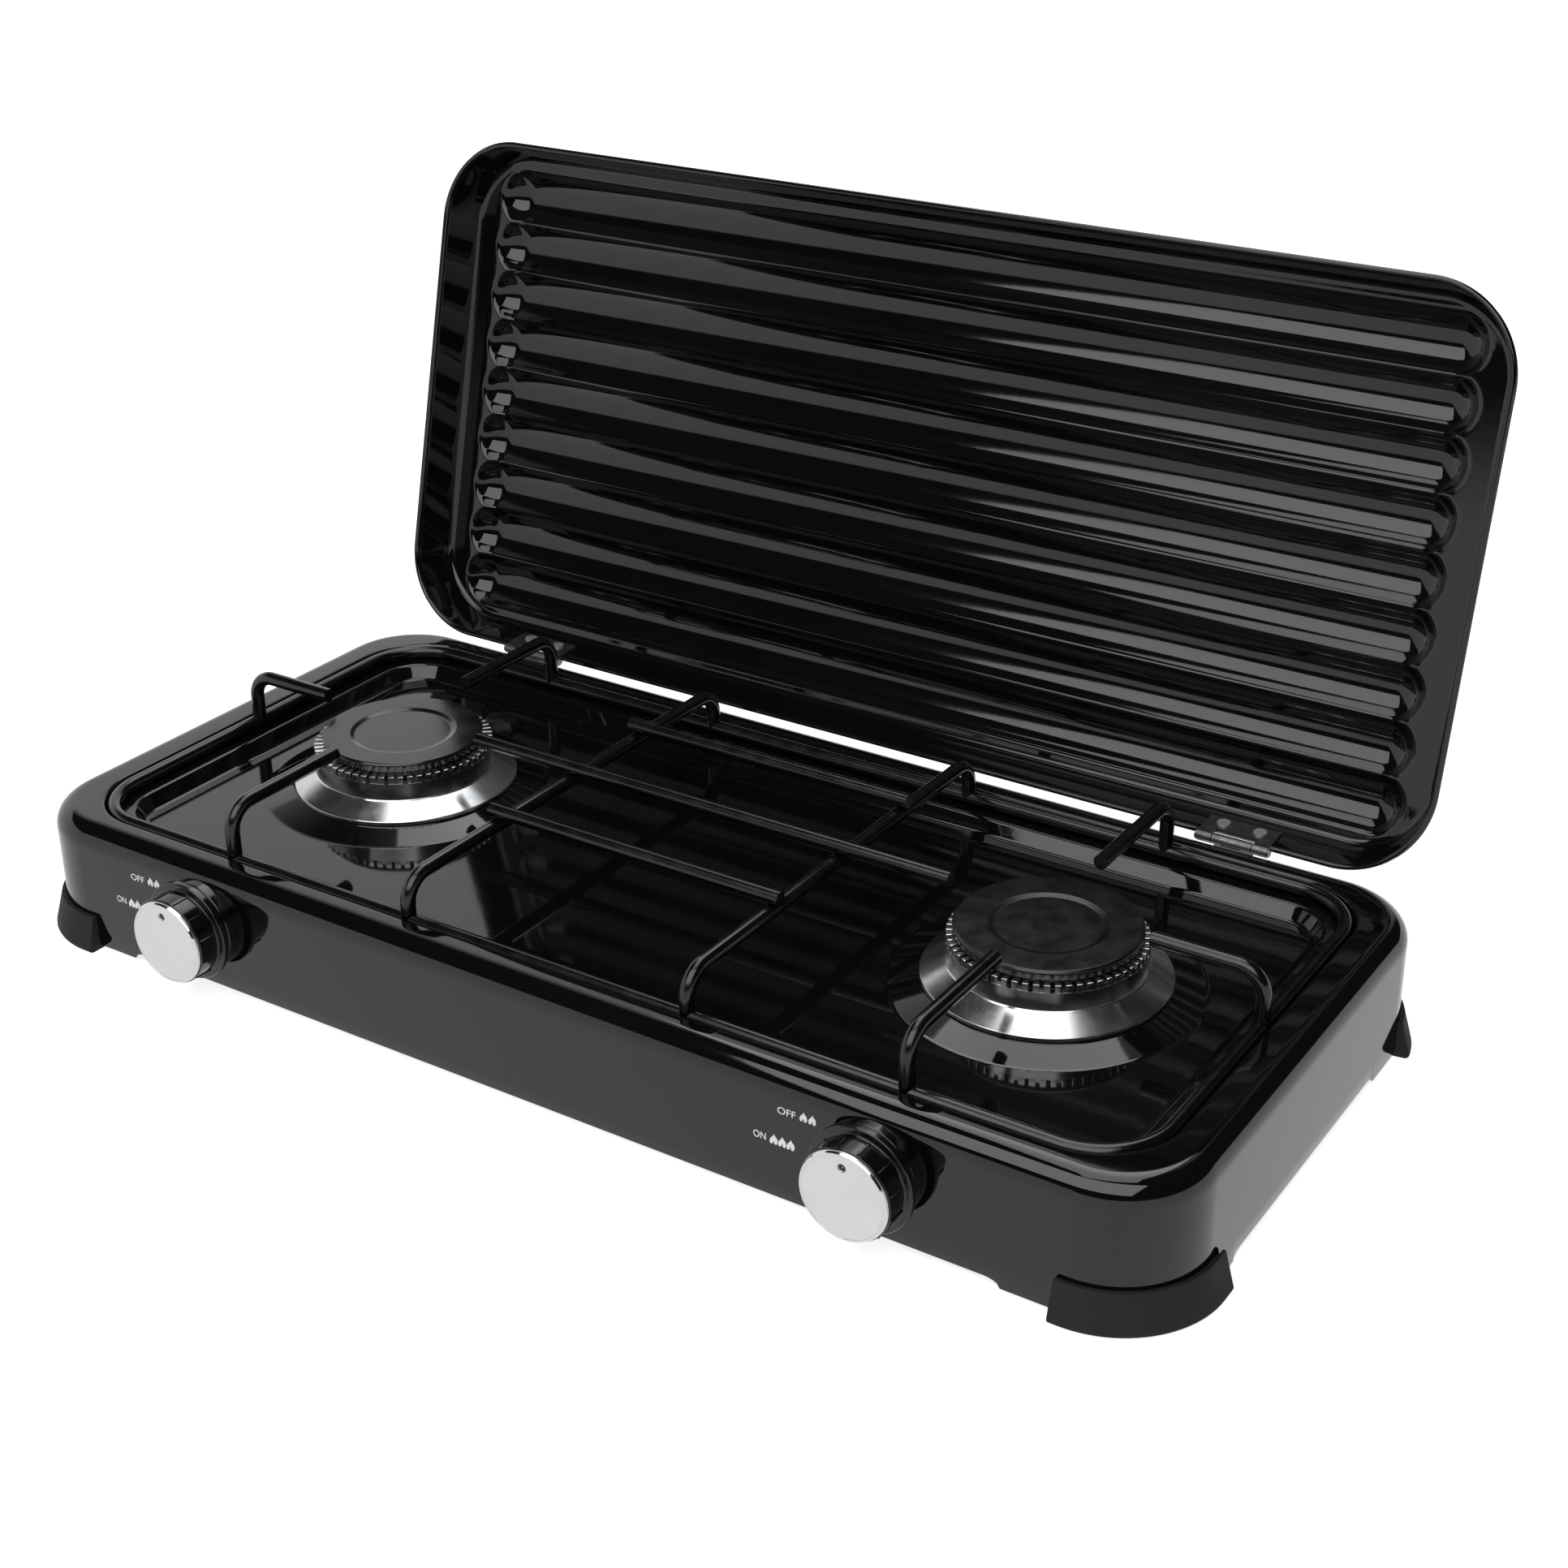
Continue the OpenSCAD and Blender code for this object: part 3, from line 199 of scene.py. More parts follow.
@dataclass(frozen=True)
class Finish:
    """A procedural surface: a base colour with mottling, roughness variation and fine relief."""

    name: str
    colour: str
    second: str
    metallic: float = 0.0
    roughness: float = 0.3
    rough_swing: float = 0.05
    ior: float = 1.5
    mottle_mm: float = 12.0
    mottle: float = 0.5
    relief_mm: float = 1.0
    relief_depth_mm: float = 0.01
    work: Direction = Direction.NONE
    work_mm: float = 0.4
    work_depth_mm: float = 0.004
    centre: Point = (0.0, 0.0, 0.0)

    def build(self) -> bpy.types.Material:
        """Build the material.

        Returns:
            The material, made once for each name.
        """
        known = bpy.data.materials.get(self.name)
        if known is not None:
            return known
        material = bpy.data.materials.new(self.name)
        material.use_nodes = True
        tree = material.node_tree
        tree.nodes.clear()
        where = add(tree, "ShaderNodeTexCoord").outputs["Object"]
        noise = {"Vector": where, "Scale": per_mm(self.mottle_mm), "Detail": 4.0}
        cloud = add(tree, "ShaderNodeTexNoise", noise).outputs["Fac"]
        patches = add(tree, "ShaderNodeMapRange", {"Value": cloud, **ramp(0.35, 0.65, 0.0, self.mottle)})
        colours = {"Factor": patches.outputs["Result"], "A": linear(self.colour), "B": linear(self.second)}
        mix = add(tree, "ShaderNodeMix", colours, data_type="RGBA")
        smoothest = max(self.roughness - self.rough_swing, 0.0)
        swing = ramp(0.3, 0.7, smoothest, self.roughness + self.rough_swing)
        rough = add(tree, "ShaderNodeMapRange", {"Value": cloud, **swing})
        noise = {"Vector": where, "Scale": per_mm(self.relief_mm), "Detail": 3.0}
        grain = add(tree, "ShaderNodeTexNoise", noise).outputs["Fac"]
        relief = {"Height": grain, "Distance": self.relief_depth_mm * MM, "Strength": 1.0}
        bump = add(tree, "ShaderNodeBump", relief)
        surface = {
            "Base Color": mix.outputs["Result"],
            "Roughness": rough.outputs["Result"],
            "Metallic": self.metallic,
            "IOR": self.ior,
            "Normal": self.worked(tree, where, bump.outputs["Normal"]),
        }
        shader = add(tree, "ShaderNodeBsdfPrincipled", surface)
        add(tree, "ShaderNodeOutputMaterial", {"Surface": shader.outputs["BSDF"]})
        material.diffuse_color = linear(self.colour)
        return material

    def worked(
        self, tree: bpy.types.NodeTree, where: bpy.types.NodeSocket, normal: bpy.types.NodeSocket
    ) -> bpy.types.NodeSocket:
        """Add the fine lines that turning or drawing leaves.

        Args:
            tree: The material's node tree.
            where: Object coordinates.
            normal: Normal to build on.

        Returns:
            The normal with the lines in it.
        """
        if self.work is Direction.NONE:
            return normal
        shifted = add(tree, "ShaderNodeVectorMath", {0: where, 1: tuple(placed(self.centre))}, operation="SUBTRACT")
        split = add(tree, "ShaderNodeSeparateXYZ", {"Vector": shifted.outputs["Vector"]})
        across = [split.outputs[axis] for axis in self.work.value]
        turned = self.work is not Direction.ALONG_X
        if turned:
            across = [add(tree, "ShaderNodeMath", {0: a, 1: 2.0}, operation="POWER").outputs[0] for a in across]
        place = add(tree, "ShaderNodeMath", {0: across[0], 1: across[1]}, operation="ADD")
        if turned:
            place = add(tree, "ShaderNodeMath", {0: place.outputs[0]}, operation="SQRT")
        noise = {"W": place.outputs[0], "Scale": per_mm(self.work_mm), "Detail": 2.0}
        lines = add(tree, "ShaderNodeTexNoise", noise, noise_dimensions="1D").outputs["Fac"]
        depth = self.work_depth_mm * MM
        bump = add(tree, "ShaderNodeBump", {"Height": lines, "Distance": depth, "Strength": 1.0, "Normal": normal})
        return bump.outputs["Normal"]


# Vitreous enamel fired on pressed steel: black glass with a faint orange peel, so reflections ripple slightly.
ENAMEL = Finish(
    "vitreous_enamel_black", "070708", "0b0b0c", roughness=0.05, rough_swing=0.015, mottle_mm=60, relief_mm=4.0,
    relief_depth_mm=0.006,
)
# The lid's enamel is the same glass on a thinner pressing, whose ribs ripple a little more.
LID_ENAMEL = Finish(
    "vitreous_enamel_black_lid", "080809", "0c0c0d", roughness=0.07, rough_swing=0.02, mottle_mm=60, relief_mm=5.0,
    relief_depth_mm=0.01,
)
# Enamel on the pan support is sprayed thinly over wire, so it dries to a soft satin.
WIRE_ENAMEL = Finish(
    "satin_enamel_wire", "060607", "0c0c0d", roughness=0.2, rough_swing=0.05, mottle_mm=9, relief_mm=0.9,
    relief_depth_mm=0.02,
)
# Glossy enamelled cap of the left burner.
CAP_GLOSS = Finish(
    "vitreous_enamel_cap", "0c0c0d", "131314", roughness=0.16, rough_swing=0.05, mottle_mm=14, relief_mm=1.6,
    relief_depth_mm=0.012,
)
# Matt enamelled cap of the right burner, with a grain like fine sandpaper.
CAP_MATT = Finish(
    "matt_enamel_cap", "050505", "0b0b0b", roughness=0.3, rough_swing=0.08, mottle_mm=10, relief_mm=0.8,
    relief_depth_mm=0.02,
)
# Moulded natural rubber: matt, with pale bloom in cloudy patches.
RUBBER = Finish(
    "moulded_rubber", "050505", "121212", roughness=0.8, rough_swing=0.08, mottle_mm=14, mottle=0.9, relief_mm=0.7,
    relief_depth_mm=0.03,
)
# Glossy moulded phenolic plastic of the knobs and their collars.
KNOB_PLASTIC = Finish(
    "moulded_phenolic_black", "080808", "0d0d0d", roughness=0.14, rough_swing=0.04, mottle_mm=8, relief_mm=1.2,
    relief_depth_mm=0.006,
)
# Bright zinc plating on pressed steel: pale grey metal with soft cloudy passivation.
ZINC = Finish(
    "zinc_plated_steel", "b9bbbd", "a3a6a8", metallic=1.0, roughness=0.26, rough_swing=0.08, mottle_mm=5,
    relief_mm=0.6, relief_depth_mm=0.01, work=Direction.ALONG_X, work_mm=0.3, work_depth_mm=0.003,
)
# Bare drawn steel of the hinges under a thin oil film: mid-grey and dull.
HINGE_STEEL = Finish(
    "oiled_hinge_steel", "717375", "5b5d5f", metallic=1.0, roughness=0.4, rough_swing=0.1, mottle_mm=4,
    relief_mm=0.6, relief_depth_mm=0.012, work=Direction.ALONG_X, work_mm=0.3, work_depth_mm=0.004,
)
# Die-cast aluminium, left as it came from the die: grainy and dull.
CAST_ALUMINIUM = Finish(
    "die_cast_aluminium", "a9abad", "939597", metallic=1.0, roughness=0.42, rough_swing=0.08, mottle_mm=6,
    relief_mm=0.5, relief_depth_mm=0.02,
)
# Machined brass of the gas fittings.
BRASS = Finish(
    "machined_brass", "c9a45a", "b8934a", metallic=1.0, roughness=0.24, rough_swing=0.06, mottle_mm=6,
    relief_mm=0.5, relief_depth_mm=0.006,
)
# Aluminium polished with a diamond tool on the knobs' rims: mirror-bright with fine lines.
POLISHED_RIM = Finish(
    "polished_aluminium_rim", "d6d7d9", "c9cacc", metallic=1.0, roughness=0.1, rough_swing=0.03, mottle_mm=6,
    relief_mm=2.0, relief_depth_mm=0.001,
)
# White screen-print ink, slightly raised and matt.
PRINT_INK = Finish(
    "screen_print_white", "e4e4e2", "d8d8d6", roughness=0.55, rough_swing=0.05, mottle_mm=3, relief_mm=0.4,
    relief_depth_mm=0.006,
)


def turned_aluminium(side: Side, centre: Point) -> Finish:
    """Bright aluminium turned on a lathe about Z, with concentric tool lines."""
    return Finish(
        f"turned_aluminium_{side}", "cfd1d3", "c3c5c7", metallic=1.0, roughness=0.2, rough_swing=0.04, mottle_mm=8,
        relief_mm=4.0, relief_depth_mm=0.001, work=Direction.ROUND_Z, work_mm=0.7, work_depth_mm=0.002, centre=centre,
    )


def spun_face(side: Side, centre: Point) -> Finish:
    """Anodised aluminium disc, satin with faint turning lines about Y."""
    return Finish(
        f"spun_aluminium_{side}", "d9d9da", "d1d1d2", metallic=0.6, roughness=0.34, rough_swing=0.03, mottle_mm=20,
        relief_mm=0.4, relief_depth_mm=0.002, work=Direction.ROUND_Y, work_mm=0.35, work_depth_mm=0.002, centre=centre,
    )


# ---------------------------------------------------------------- mesh helpers


def smooth(mesh: bpy.types.Mesh, angle_deg: float) -> None:
    """Shade a mesh smooth, with the edges past an angle kept sharp.

    Args:
        mesh: The mesh.
        angle_deg: The angle, in degrees.
    """
    mesh.polygons.foreach_set("use_smooth", [True] * len(mesh.polygons))
    mesh.set_sharp_from_angle(angle=math.radians(angle_deg))
    mesh.update()


def new_object(name: str, mesh: bpy.types.Mesh, material: bpy.types.Material) -> bpy.types.Object:
    """Link a mesh as an object with one material.

    Args:
        name: Name of the object and its mesh.
        mesh: The mesh.
        material: Its material.

    Returns:
        The new object.
    """
    mesh.name = name
    mesh.materials.clear()
    mesh.materials.append(material)
    obj = bpy.data.objects.new(name, mesh)
    bpy.context.scene.collection.objects.link(obj)
    return obj


class Shape:
    """Collects vertices, in millimetres from the body's middle, and faces for one mesh."""

    def __init__(self) -> None:
        """Start with nothing."""
        self.points: list[Point] = []
        self.faces: list[tuple[int, ...]] = []

    def ring(self, points: Iterable[Sequence[float]]) -> list[int]:
        """Add points and return their indices.

        Args:
            points: Points in millimetres.

        Returns:
            Indices of the points.
        """
        start = len(self.points)
        self.points.extend((float(p[0]), float(p[1]), float(p[2])) for p in points)
        return list(range(start, len(self.points)))

    def bridge(self, low: Sequence[int], high: Sequence[int], skip: Callable[[int], bool] | None = None) -> None:
        """Join two closed rings of the same count with quads.

        Args:
            low: Indices of one ring.
            high: Indices of the next ring.
            skip: Says which segments stay open.
        """
        count = len(low)
        for i in range(count):
            if skip is None or not skip(i):
                j = (i + 1) % count
                self.faces.append((low[i], low[j], high[j], high[i]))

    def cap(self, ring: Sequence[int], flip: bool = False) -> None:
        """Close a ring with one face."""
        self.faces.append(tuple(reversed(ring)) if flip else tuple(ring))

    def lathe(self, profile: Sequence[Pair], centre: Point, steps: int, axis: Axis = Axis.UP) -> None:
        """Turn a closed profile of (radius, height) about an axis.

        Args:
            profile: Points of radius and height along the axis, counter-clockwise seen with the axis up.
            centre: Point on the axis that the heights start from.
            steps: Segments round the axis.
            axis: Way that the heights run.
        """
        rings: list[list[int]] = []
        x0, y0, z0 = centre
        for radius, height in profile:
            count = 1 if radius < 1e-6 else steps
            round_it = [(radius * math.cos(TAU * i / steps), radius * math.sin(TAU * i / steps)) for i in range(count)]
            if count == 1:
                round_it = [(0.0, 0.0)]
            if axis is Axis.UP:
                rings.append(self.ring((x0 + a, y0 + b, z0 + height) for a, b in round_it))
            else:
                rings.append(self.ring((x0 + a, y0 - height, z0 + b) for a, b in round_it))
        for low, high in zip(rings, rings[1:] + rings[:1]):
            if len(low) == 1 and len(high) == 1:
                continue
            for i in range(steps):
                j = (i + 1) % steps
                if len(low) == 1:
                    self.faces.append((low[0], high[j], high[i]))
                elif len(high) == 1:
                    self.faces.append((low[i], low[j], high[0]))
                else:
                    self.faces.append((low[i], low[j], high[j], high[i]))

    def mesh(self, outward: bool = True) -> bpy.types.Mesh:
        """Make the mesh in the row frame.

        Args:
            outward: Recalculate the normals of closed shells.

        Returns:
            The mesh, in metres.
        """
        mesh = bpy.data.meshes.new("shape")
        mesh.from_pydata([placed(p) for p in self.points], [], self.faces)
        work = bmesh.new()
        work.from_mesh(mesh)
        bmesh.ops.remove_doubles(work, verts=work.verts, dist=MERGE_MM * MM)
        if outward:
            bmesh.ops.recalc_face_normals(work, faces=work.faces)
        work.to_mesh(mesh)
        work.free()
        return mesh


def prism(low: Sequence[Point], high: Sequence[Point], bevel: float = 0.0) -> bpy.types.Mesh:
    """Close the solid between two like polygons, about the origin.

    Args:
        low: Corners of one end, in millimetres.
        high: Corners of the other end, in the same order.
        bevel: Bevel on the edges at the top and at the outer end, in X.

    Returns:
        The mesh, in metres.
    """
    work = bmesh.new()
    near, far = ([work.verts.new(tuple(c * MM for c in point)) for point in end] for end in (low, high))
    work.faces.new(near[::-1])
    work.faces.new(far)
    for i in range(len(near)):
        j = (i + 1) % len(near)
        work.faces.new((near[i], near[j], far[j], far[i]))
    if bevel:
        top, end = ((max(point[k] for point in high) - gap) * MM for k, gap in ((2, 0.01), (0, 0.3)))
        picked = [e for e in work.edges if all(v.co.z > top for v in e.verts) or all(v.co.x > end for v in e.verts)]
        bmesh.ops.bevel(work, geom=picked, offset=bevel * MM, segments=2, affect="EDGES", profile=0.5)
    bmesh.ops.recalc_face_normals(work, faces=work.faces)
    mesh = bpy.data.meshes.new("prism")
    work.to_mesh(mesh)
    work.free()
    return mesh


def rounded(points: Sequence[Pair], radii: Sequence[float], steps: int = 6) -> list[Pair]:
    """Round the corners of a polyline.

    Args:
        points: Corners.
        radii: Radius at each corner; 0 keeps it sharp.
        steps: Segments in each rounding.

    Returns:
        The points of the rounded line.
    """
    out: list[Pair] = [points[0]]
    for k in range(1, len(points) - 1):
        a, b, c = (Vector(points[k + d]) for d in (-1, 0, 1))
        to_a, to_c = (a - b).normalized(), (c - b).normalized()
        half = math.acos(max(-1.0, min(1.0, to_a.dot(to_c)))) / 2
        radius = radii[k]
        reach = radius / math.tan(half) if radius else 0.0
        reach = min(reach, (a - b).length * 0.49, (c - b).length * 0.49)
        if reach < 1e-6:
            out.append(tuple(b))
            continue
        radius = reach * math.tan(half)
        middle = b + (to_a + to_c).normalized() * (radius / math.sin(half))
        start, end = b + to_a * reach - middle, b + to_c * reach - middle
        turn = start.angle_signed(end)
        for s in range(steps + 1):
            angle = -turn * s / steps
            out.append(tuple(middle + Matrix.Rotation(angle, 2) @ start))
    out.append(points[-1])
    return [(float(p[0]), float(p[1])) for p in out]


def arc(x: float, y: float, r: float, start_deg: float, end_deg: float, steps: int) -> list[Pair]:
    """Points along an arc."""
    return [
        (
            x + r * math.cos(math.radians(start_deg + (end_deg - start_deg) * i / steps)),
            y + r * math.sin(math.radians(start_deg + (end_deg - start_deg) * i / steps)),
        )
        for i in range(steps + 1)
    ]


@dataclass(frozen=True)
class Outline:
    """Rectangle with round corners whose straight sides are split at fixed stops."""

    half_w: float
    half_d: float
    radius: float
    stops_x: tuple[float, ...] = ()
    stops_y: tuple[float, ...] = ()
    corner_steps: int = 20

    def grown(self, by: float) -> "Outline":
        """The same outline moved outwards."""
        return Outline(
            self.half_w + by, self.half_d + by, self.radius + by, self.stops_x, self.stops_y, self.corner_steps
        )

    def points(self) -> list[Pair]:
        """Points counter-clockwise seen from above, from the right side's lower end.

        Returns:
            The closed outline's points.
        """
        out: list[Pair] = []
        cx, cy = self.half_w - self.radius, self.half_d - self.radius
        ys = sorted(self.stops_y)
        xs = sorted(self.stops_x, reverse=True)
        out += [(self.half_w, y) for y in ys]
        out += arc(cx, cy, self.radius, 0, 90, self.corner_steps)
        out += [(x, self.half_d) for x in xs]
        out += arc(-cx, cy, self.radius, 90, 180, self.corner_steps)
        out += [(-self.half_w, y) for y in reversed(ys)]
        out += arc(-cx, -cy, self.radius, 180, 270, self.corner_steps)
        out += [(x, -self.half_d) for x in reversed(xs)]
        out += arc(cx, -cy, self.radius, 270, 360, self.corner_steps)
        return out


def mirrored(half: Sequence[float]) -> list[float]:
    """Give rising positive values their mirror image."""
    return [-value for value in reversed(half)] + list(half)


def even_normals(obj: bpy.types.Object) -> None:
    """Weight the normals by face area, so that flat faces stay flat beside roundings.

    Args:
        obj: Object to treat.
    """
    weighted = obj.modifiers.new("even_normals", "WEIGHTED_NORMAL")
    weighted.keep_sharp = True
    weighted.weight = 80


def thicken(obj: bpy.types.Object) -> None:
    """Give a skin the thickness of the sheet, inwards.

    Args:
        obj: Object whose mesh is the skin.
    """
    solid = obj.modifiers.new("sheet", "SOLIDIFY")
    solid.thickness = HOB.sheet * MM
    solid.offset = -1.0
    solid.use_even_offset = True


def finished(obj: bpy.types.Object, body: str, slot: str, *nodes: str) -> None:
    """Parent a piece to the empty of the body that it rides on, and hide the CAD nodes that it stands for.

    Args:
        obj: The finished piece.
        body: Body that it moves with.
        slot: Not used.
        nodes: CAD nodes that it replaces.
    """
    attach(obj, body)
    if nodes:
        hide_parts(*nodes)
    log.info("%s rides on %s, %d faces", obj.name, body, len(obj.data.polygons))


def make_piece(
    name: str, mesh: bpy.types.Mesh, sharp_deg: float, finish: Finish, body: str, slot: str, *nodes: str,
    sheet: bool = False,
) -> None:
    """Make a mesh a finished piece with even normals.

    Args:
        name: Name of the piece.
        mesh: Its mesh in the row frame.
        sharp_deg: Edges past this angle stay sharp.
        finish: Its finish.
        body: Body that it moves with.
        slot: Material slot of the record.
        nodes: CAD nodes that it replaces.
        sheet: The mesh is a skin that gets the sheet's thickness.
    """
    smooth(mesh, sharp_deg)
    obj = new_object(name, mesh, finish.build())
    if sheet:
        thicken(obj)
    even_normals(obj)
    finished(obj, body, slot, *nodes)


def join(meshes: Sequence[bpy.types.Mesh]) -> bpy.types.Mesh:
    """Join meshes into one.

    Args:
        meshes: The meshes.

    Returns:
        The joined mesh.
    """
    work = bmesh.new()
    for mesh in meshes:
        work.from_mesh(mesh)
    result = bpy.data.meshes.new("joined")
    work.to_mesh(result)
    work.free()
    return result


# ---------------------------------------------------------------- geometry nodes


class NodeTool:
    """Geometry Nodes tree with named inputs, run once for each mesh that it makes."""

    title = ""
    inputs: dict[str, str] = {}

    def __init__(self) -> None:
        """Build the tree from its inputs, its own steps and the finish."""
        self.tree = bpy.data.node_groups.new(self.title, "GeometryNodeTree")
        for name, kind in self.inputs.items():
            self.tree.interface.new_socket(name, in_out="INPUT", socket_type=f"NodeSocket{kind}")
        self.tree.interface.new_socket("Geometry", in_out="OUTPUT", socket_type="NodeSocketGeometry")
        start = add(self.tree, "NodeGroupInput").outputs
        real = add(self.tree, "GeometryNodeRealizeInstances", {"Geometry": self.steps(start)})
        dressed = {"Geometry": real.outputs[0], "Material": start["Finish"]}
        add(self.tree, "NodeGroupOutput", {"Geometry": add(self.tree, "GeometryNodeSetMaterial", dressed).outputs[0]})

    def steps(self, start: bpy.types.NodeOutputs) -> bpy.types.NodeSocket:
        """Add the tree's own steps and return their geometry."""
        raise NotImplementedError

    def bake(self, helper: bpy.types.Object, values: dict[str, object]) -> bpy.types.Mesh:
        """Run the tree and keep its result as a plain mesh.

        Args:
            helper: Object that an input names, linked for the run and then removed.
            values: Input name to value.

        Returns:
            The plain mesh in the row frame.
        """
        holder = bpy.data.objects.new("holder", bpy.data.meshes.new("holder"))
        for obj in (helper, holder):
            bpy.context.scene.collection.objects.link(obj)
        modifier = holder.modifiers.new("nodes", "NODES")
        modifier.node_group = self.tree
        for item in self.tree.interface.items_tree:
            if item.in_out == "INPUT" and item.name in values:
                modifier[item.identifier] = values[item.name]
        holder.update_tag()
        mesh = evaluated(holder)
        holder.modifiers.remove(modifier)
        for obj in (holder, helper):
            bpy.data.objects.remove(obj)
        return mesh


def evaluated(obj: bpy.types.Object) -> bpy.types.Mesh:
    """Keep what an object's modifiers or its text make of it as a plain mesh."""
    graph = bpy.context.evaluated_depsgraph_get()
    return bpy.data.meshes.new_from_object(obj.evaluated_get(graph), depsgraph=graph)


class CopyRing(NodeTool):
    """Turns copies of a piece about a vertical or level axis."""

    title = "copies_round_an_axis"
    inputs = {
        "Piece": "Object", "Count": "Int", "Step": "Float", "First": "Float", "Axis": "Vector", "Centre": "Vector",
        "Finish": "Material",
    }

    def steps(self, start: bpy.types.NodeOutputs) -> bpy.types.NodeSocket:
        """Put a turned copy on each of the points at the centre."""
        tree = self.tree
        points = add(tree, "GeometryNodePoints", {"Count": start["Count"], "Position": start["Centre"]})
        index = add(tree, "GeometryNodeInputIndex")
        turn = add(tree, "ShaderNodeMath", {0: index.outputs[0], 1: start["Step"]}, operation="MULTIPLY")
        angle = add(tree, "ShaderNodeMath", {0: turn.outputs[0], 1: start["First"]}, operation="ADD")
        rotation = add(tree, "FunctionNodeAxisAngleToRotation", {"Axis": start["Axis"], "Angle": angle.outputs[0]})
        piece = add(tree, "GeometryNodeObjectInfo", {"Object": start["Piece"]}, transform_space="ORIGINAL")
        copies = {
            "Points": points.outputs[0], "Instance": piece.outputs["Geometry"], "Rotation": rotation.outputs[0],
        }
        return add(tree, "GeometryNodeInstanceOnPoints", copies).outputs[0]

    def mesh(
        self, piece: bpy.types.Mesh, count: int, finish: Finish, axis: Point, centre: Point, first: float
    ) -> bpy.types.Mesh:
        """Make one mesh of copies that share a full turn.

        Args:
            piece: Mesh of one copy, in metres about the origin.
            count: Number of copies.
            finish: Finish of the copies.
            axis: Axis that they turn about.
            centre: Point on the axis, in millimetres of the hob.
            first: Angle of the first copy, in radians.

        Returns:
            The plain mesh in the row frame.
        """
        source = bpy.data.objects.new("one_copy", piece)
        values = {"Piece": source, "Count": count, "Step": TAU / count, "First": first, "Axis": axis}
        return self.bake(source, values | {"Centre": tuple(placed(centre)), "Finish": finish.build()})


class BentWire(NodeTool):
    """Draws round wire along a path with bent corners."""

    title = "round_wire_with_bends"
    inputs = {
        "Path": "Object", "Wire radius": "Float", "Bend radius": "Float", "Bend steps": "Int", "Round steps": "Int",
        "Finish": "Material",
    }

    def steps(self, start: bpy.types.NodeOutputs) -> bpy.types.NodeSocket:
        """Round the path's corners and sweep a circle along it."""
        tree = self.tree
        path = add(tree, "GeometryNodeObjectInfo", {"Object": start["Path"]}, transform_space="ORIGINAL")
        bends = {"Count": start["Bend steps"], "Radius": start["Bend radius"], "Limit Radius": True}
        bent = add(tree, "GeometryNodeFilletCurve", {"Curve": path.outputs["Geometry"], **bends}, mode="POLY")
        round_wire = {"Resolution": start["Round steps"], "Radius": start["Wire radius"]}
        circle = add(tree, "GeometryNodeCurvePrimitiveCircle", round_wire)
        swept = {"Curve": bent.outputs[0], "Profile Curve": circle.outputs[0], "Fill Caps": True}
        return add(tree, "GeometryNodeCurveToMesh", swept).outputs[0]

    def mesh(
        self, paths: Sequence[Sequence[Point]], radius_mm: float, bend_mm: float, finish: Finish, closed: bool
    ) -> bpy.types.Mesh:
        """Make one mesh of the wires along the paths.

        Args:
            paths: Corners of each wire's centreline, in millimetres of the hob.
            radius_mm: Radius of the wire.
            bend_mm: Radius of its bends, at the wire's centre.
            finish: Finish of the wire.
            closed: The paths are closed loops.

        Returns:
            The plain mesh in the row frame.
        """
        curve = bpy.data.curves.new("wire_path", "CURVE")
        curve.dimensions = "3D"
        for path in paths:
            spline = curve.splines.new("POLY")
            spline.points.add(len(path) - 1)
            for point, corner in zip(spline.points, path):
                point.co = (*placed(corner), 1.0)
            spline.use_cyclic_u = closed
        source = bpy.data.objects.new("wire_path", curve)
        values = {"Path": source, "Wire radius": radius_mm * MM, "Bend radius": bend_mm * MM}
        return self.bake(source, values | {"Bend steps": 14, "Round steps": 24, "Finish": finish.build()})


COPY_RING = CopyRing()
BENT_WIRE = BentWire()


# ---------------------------------------------------------------- body shell


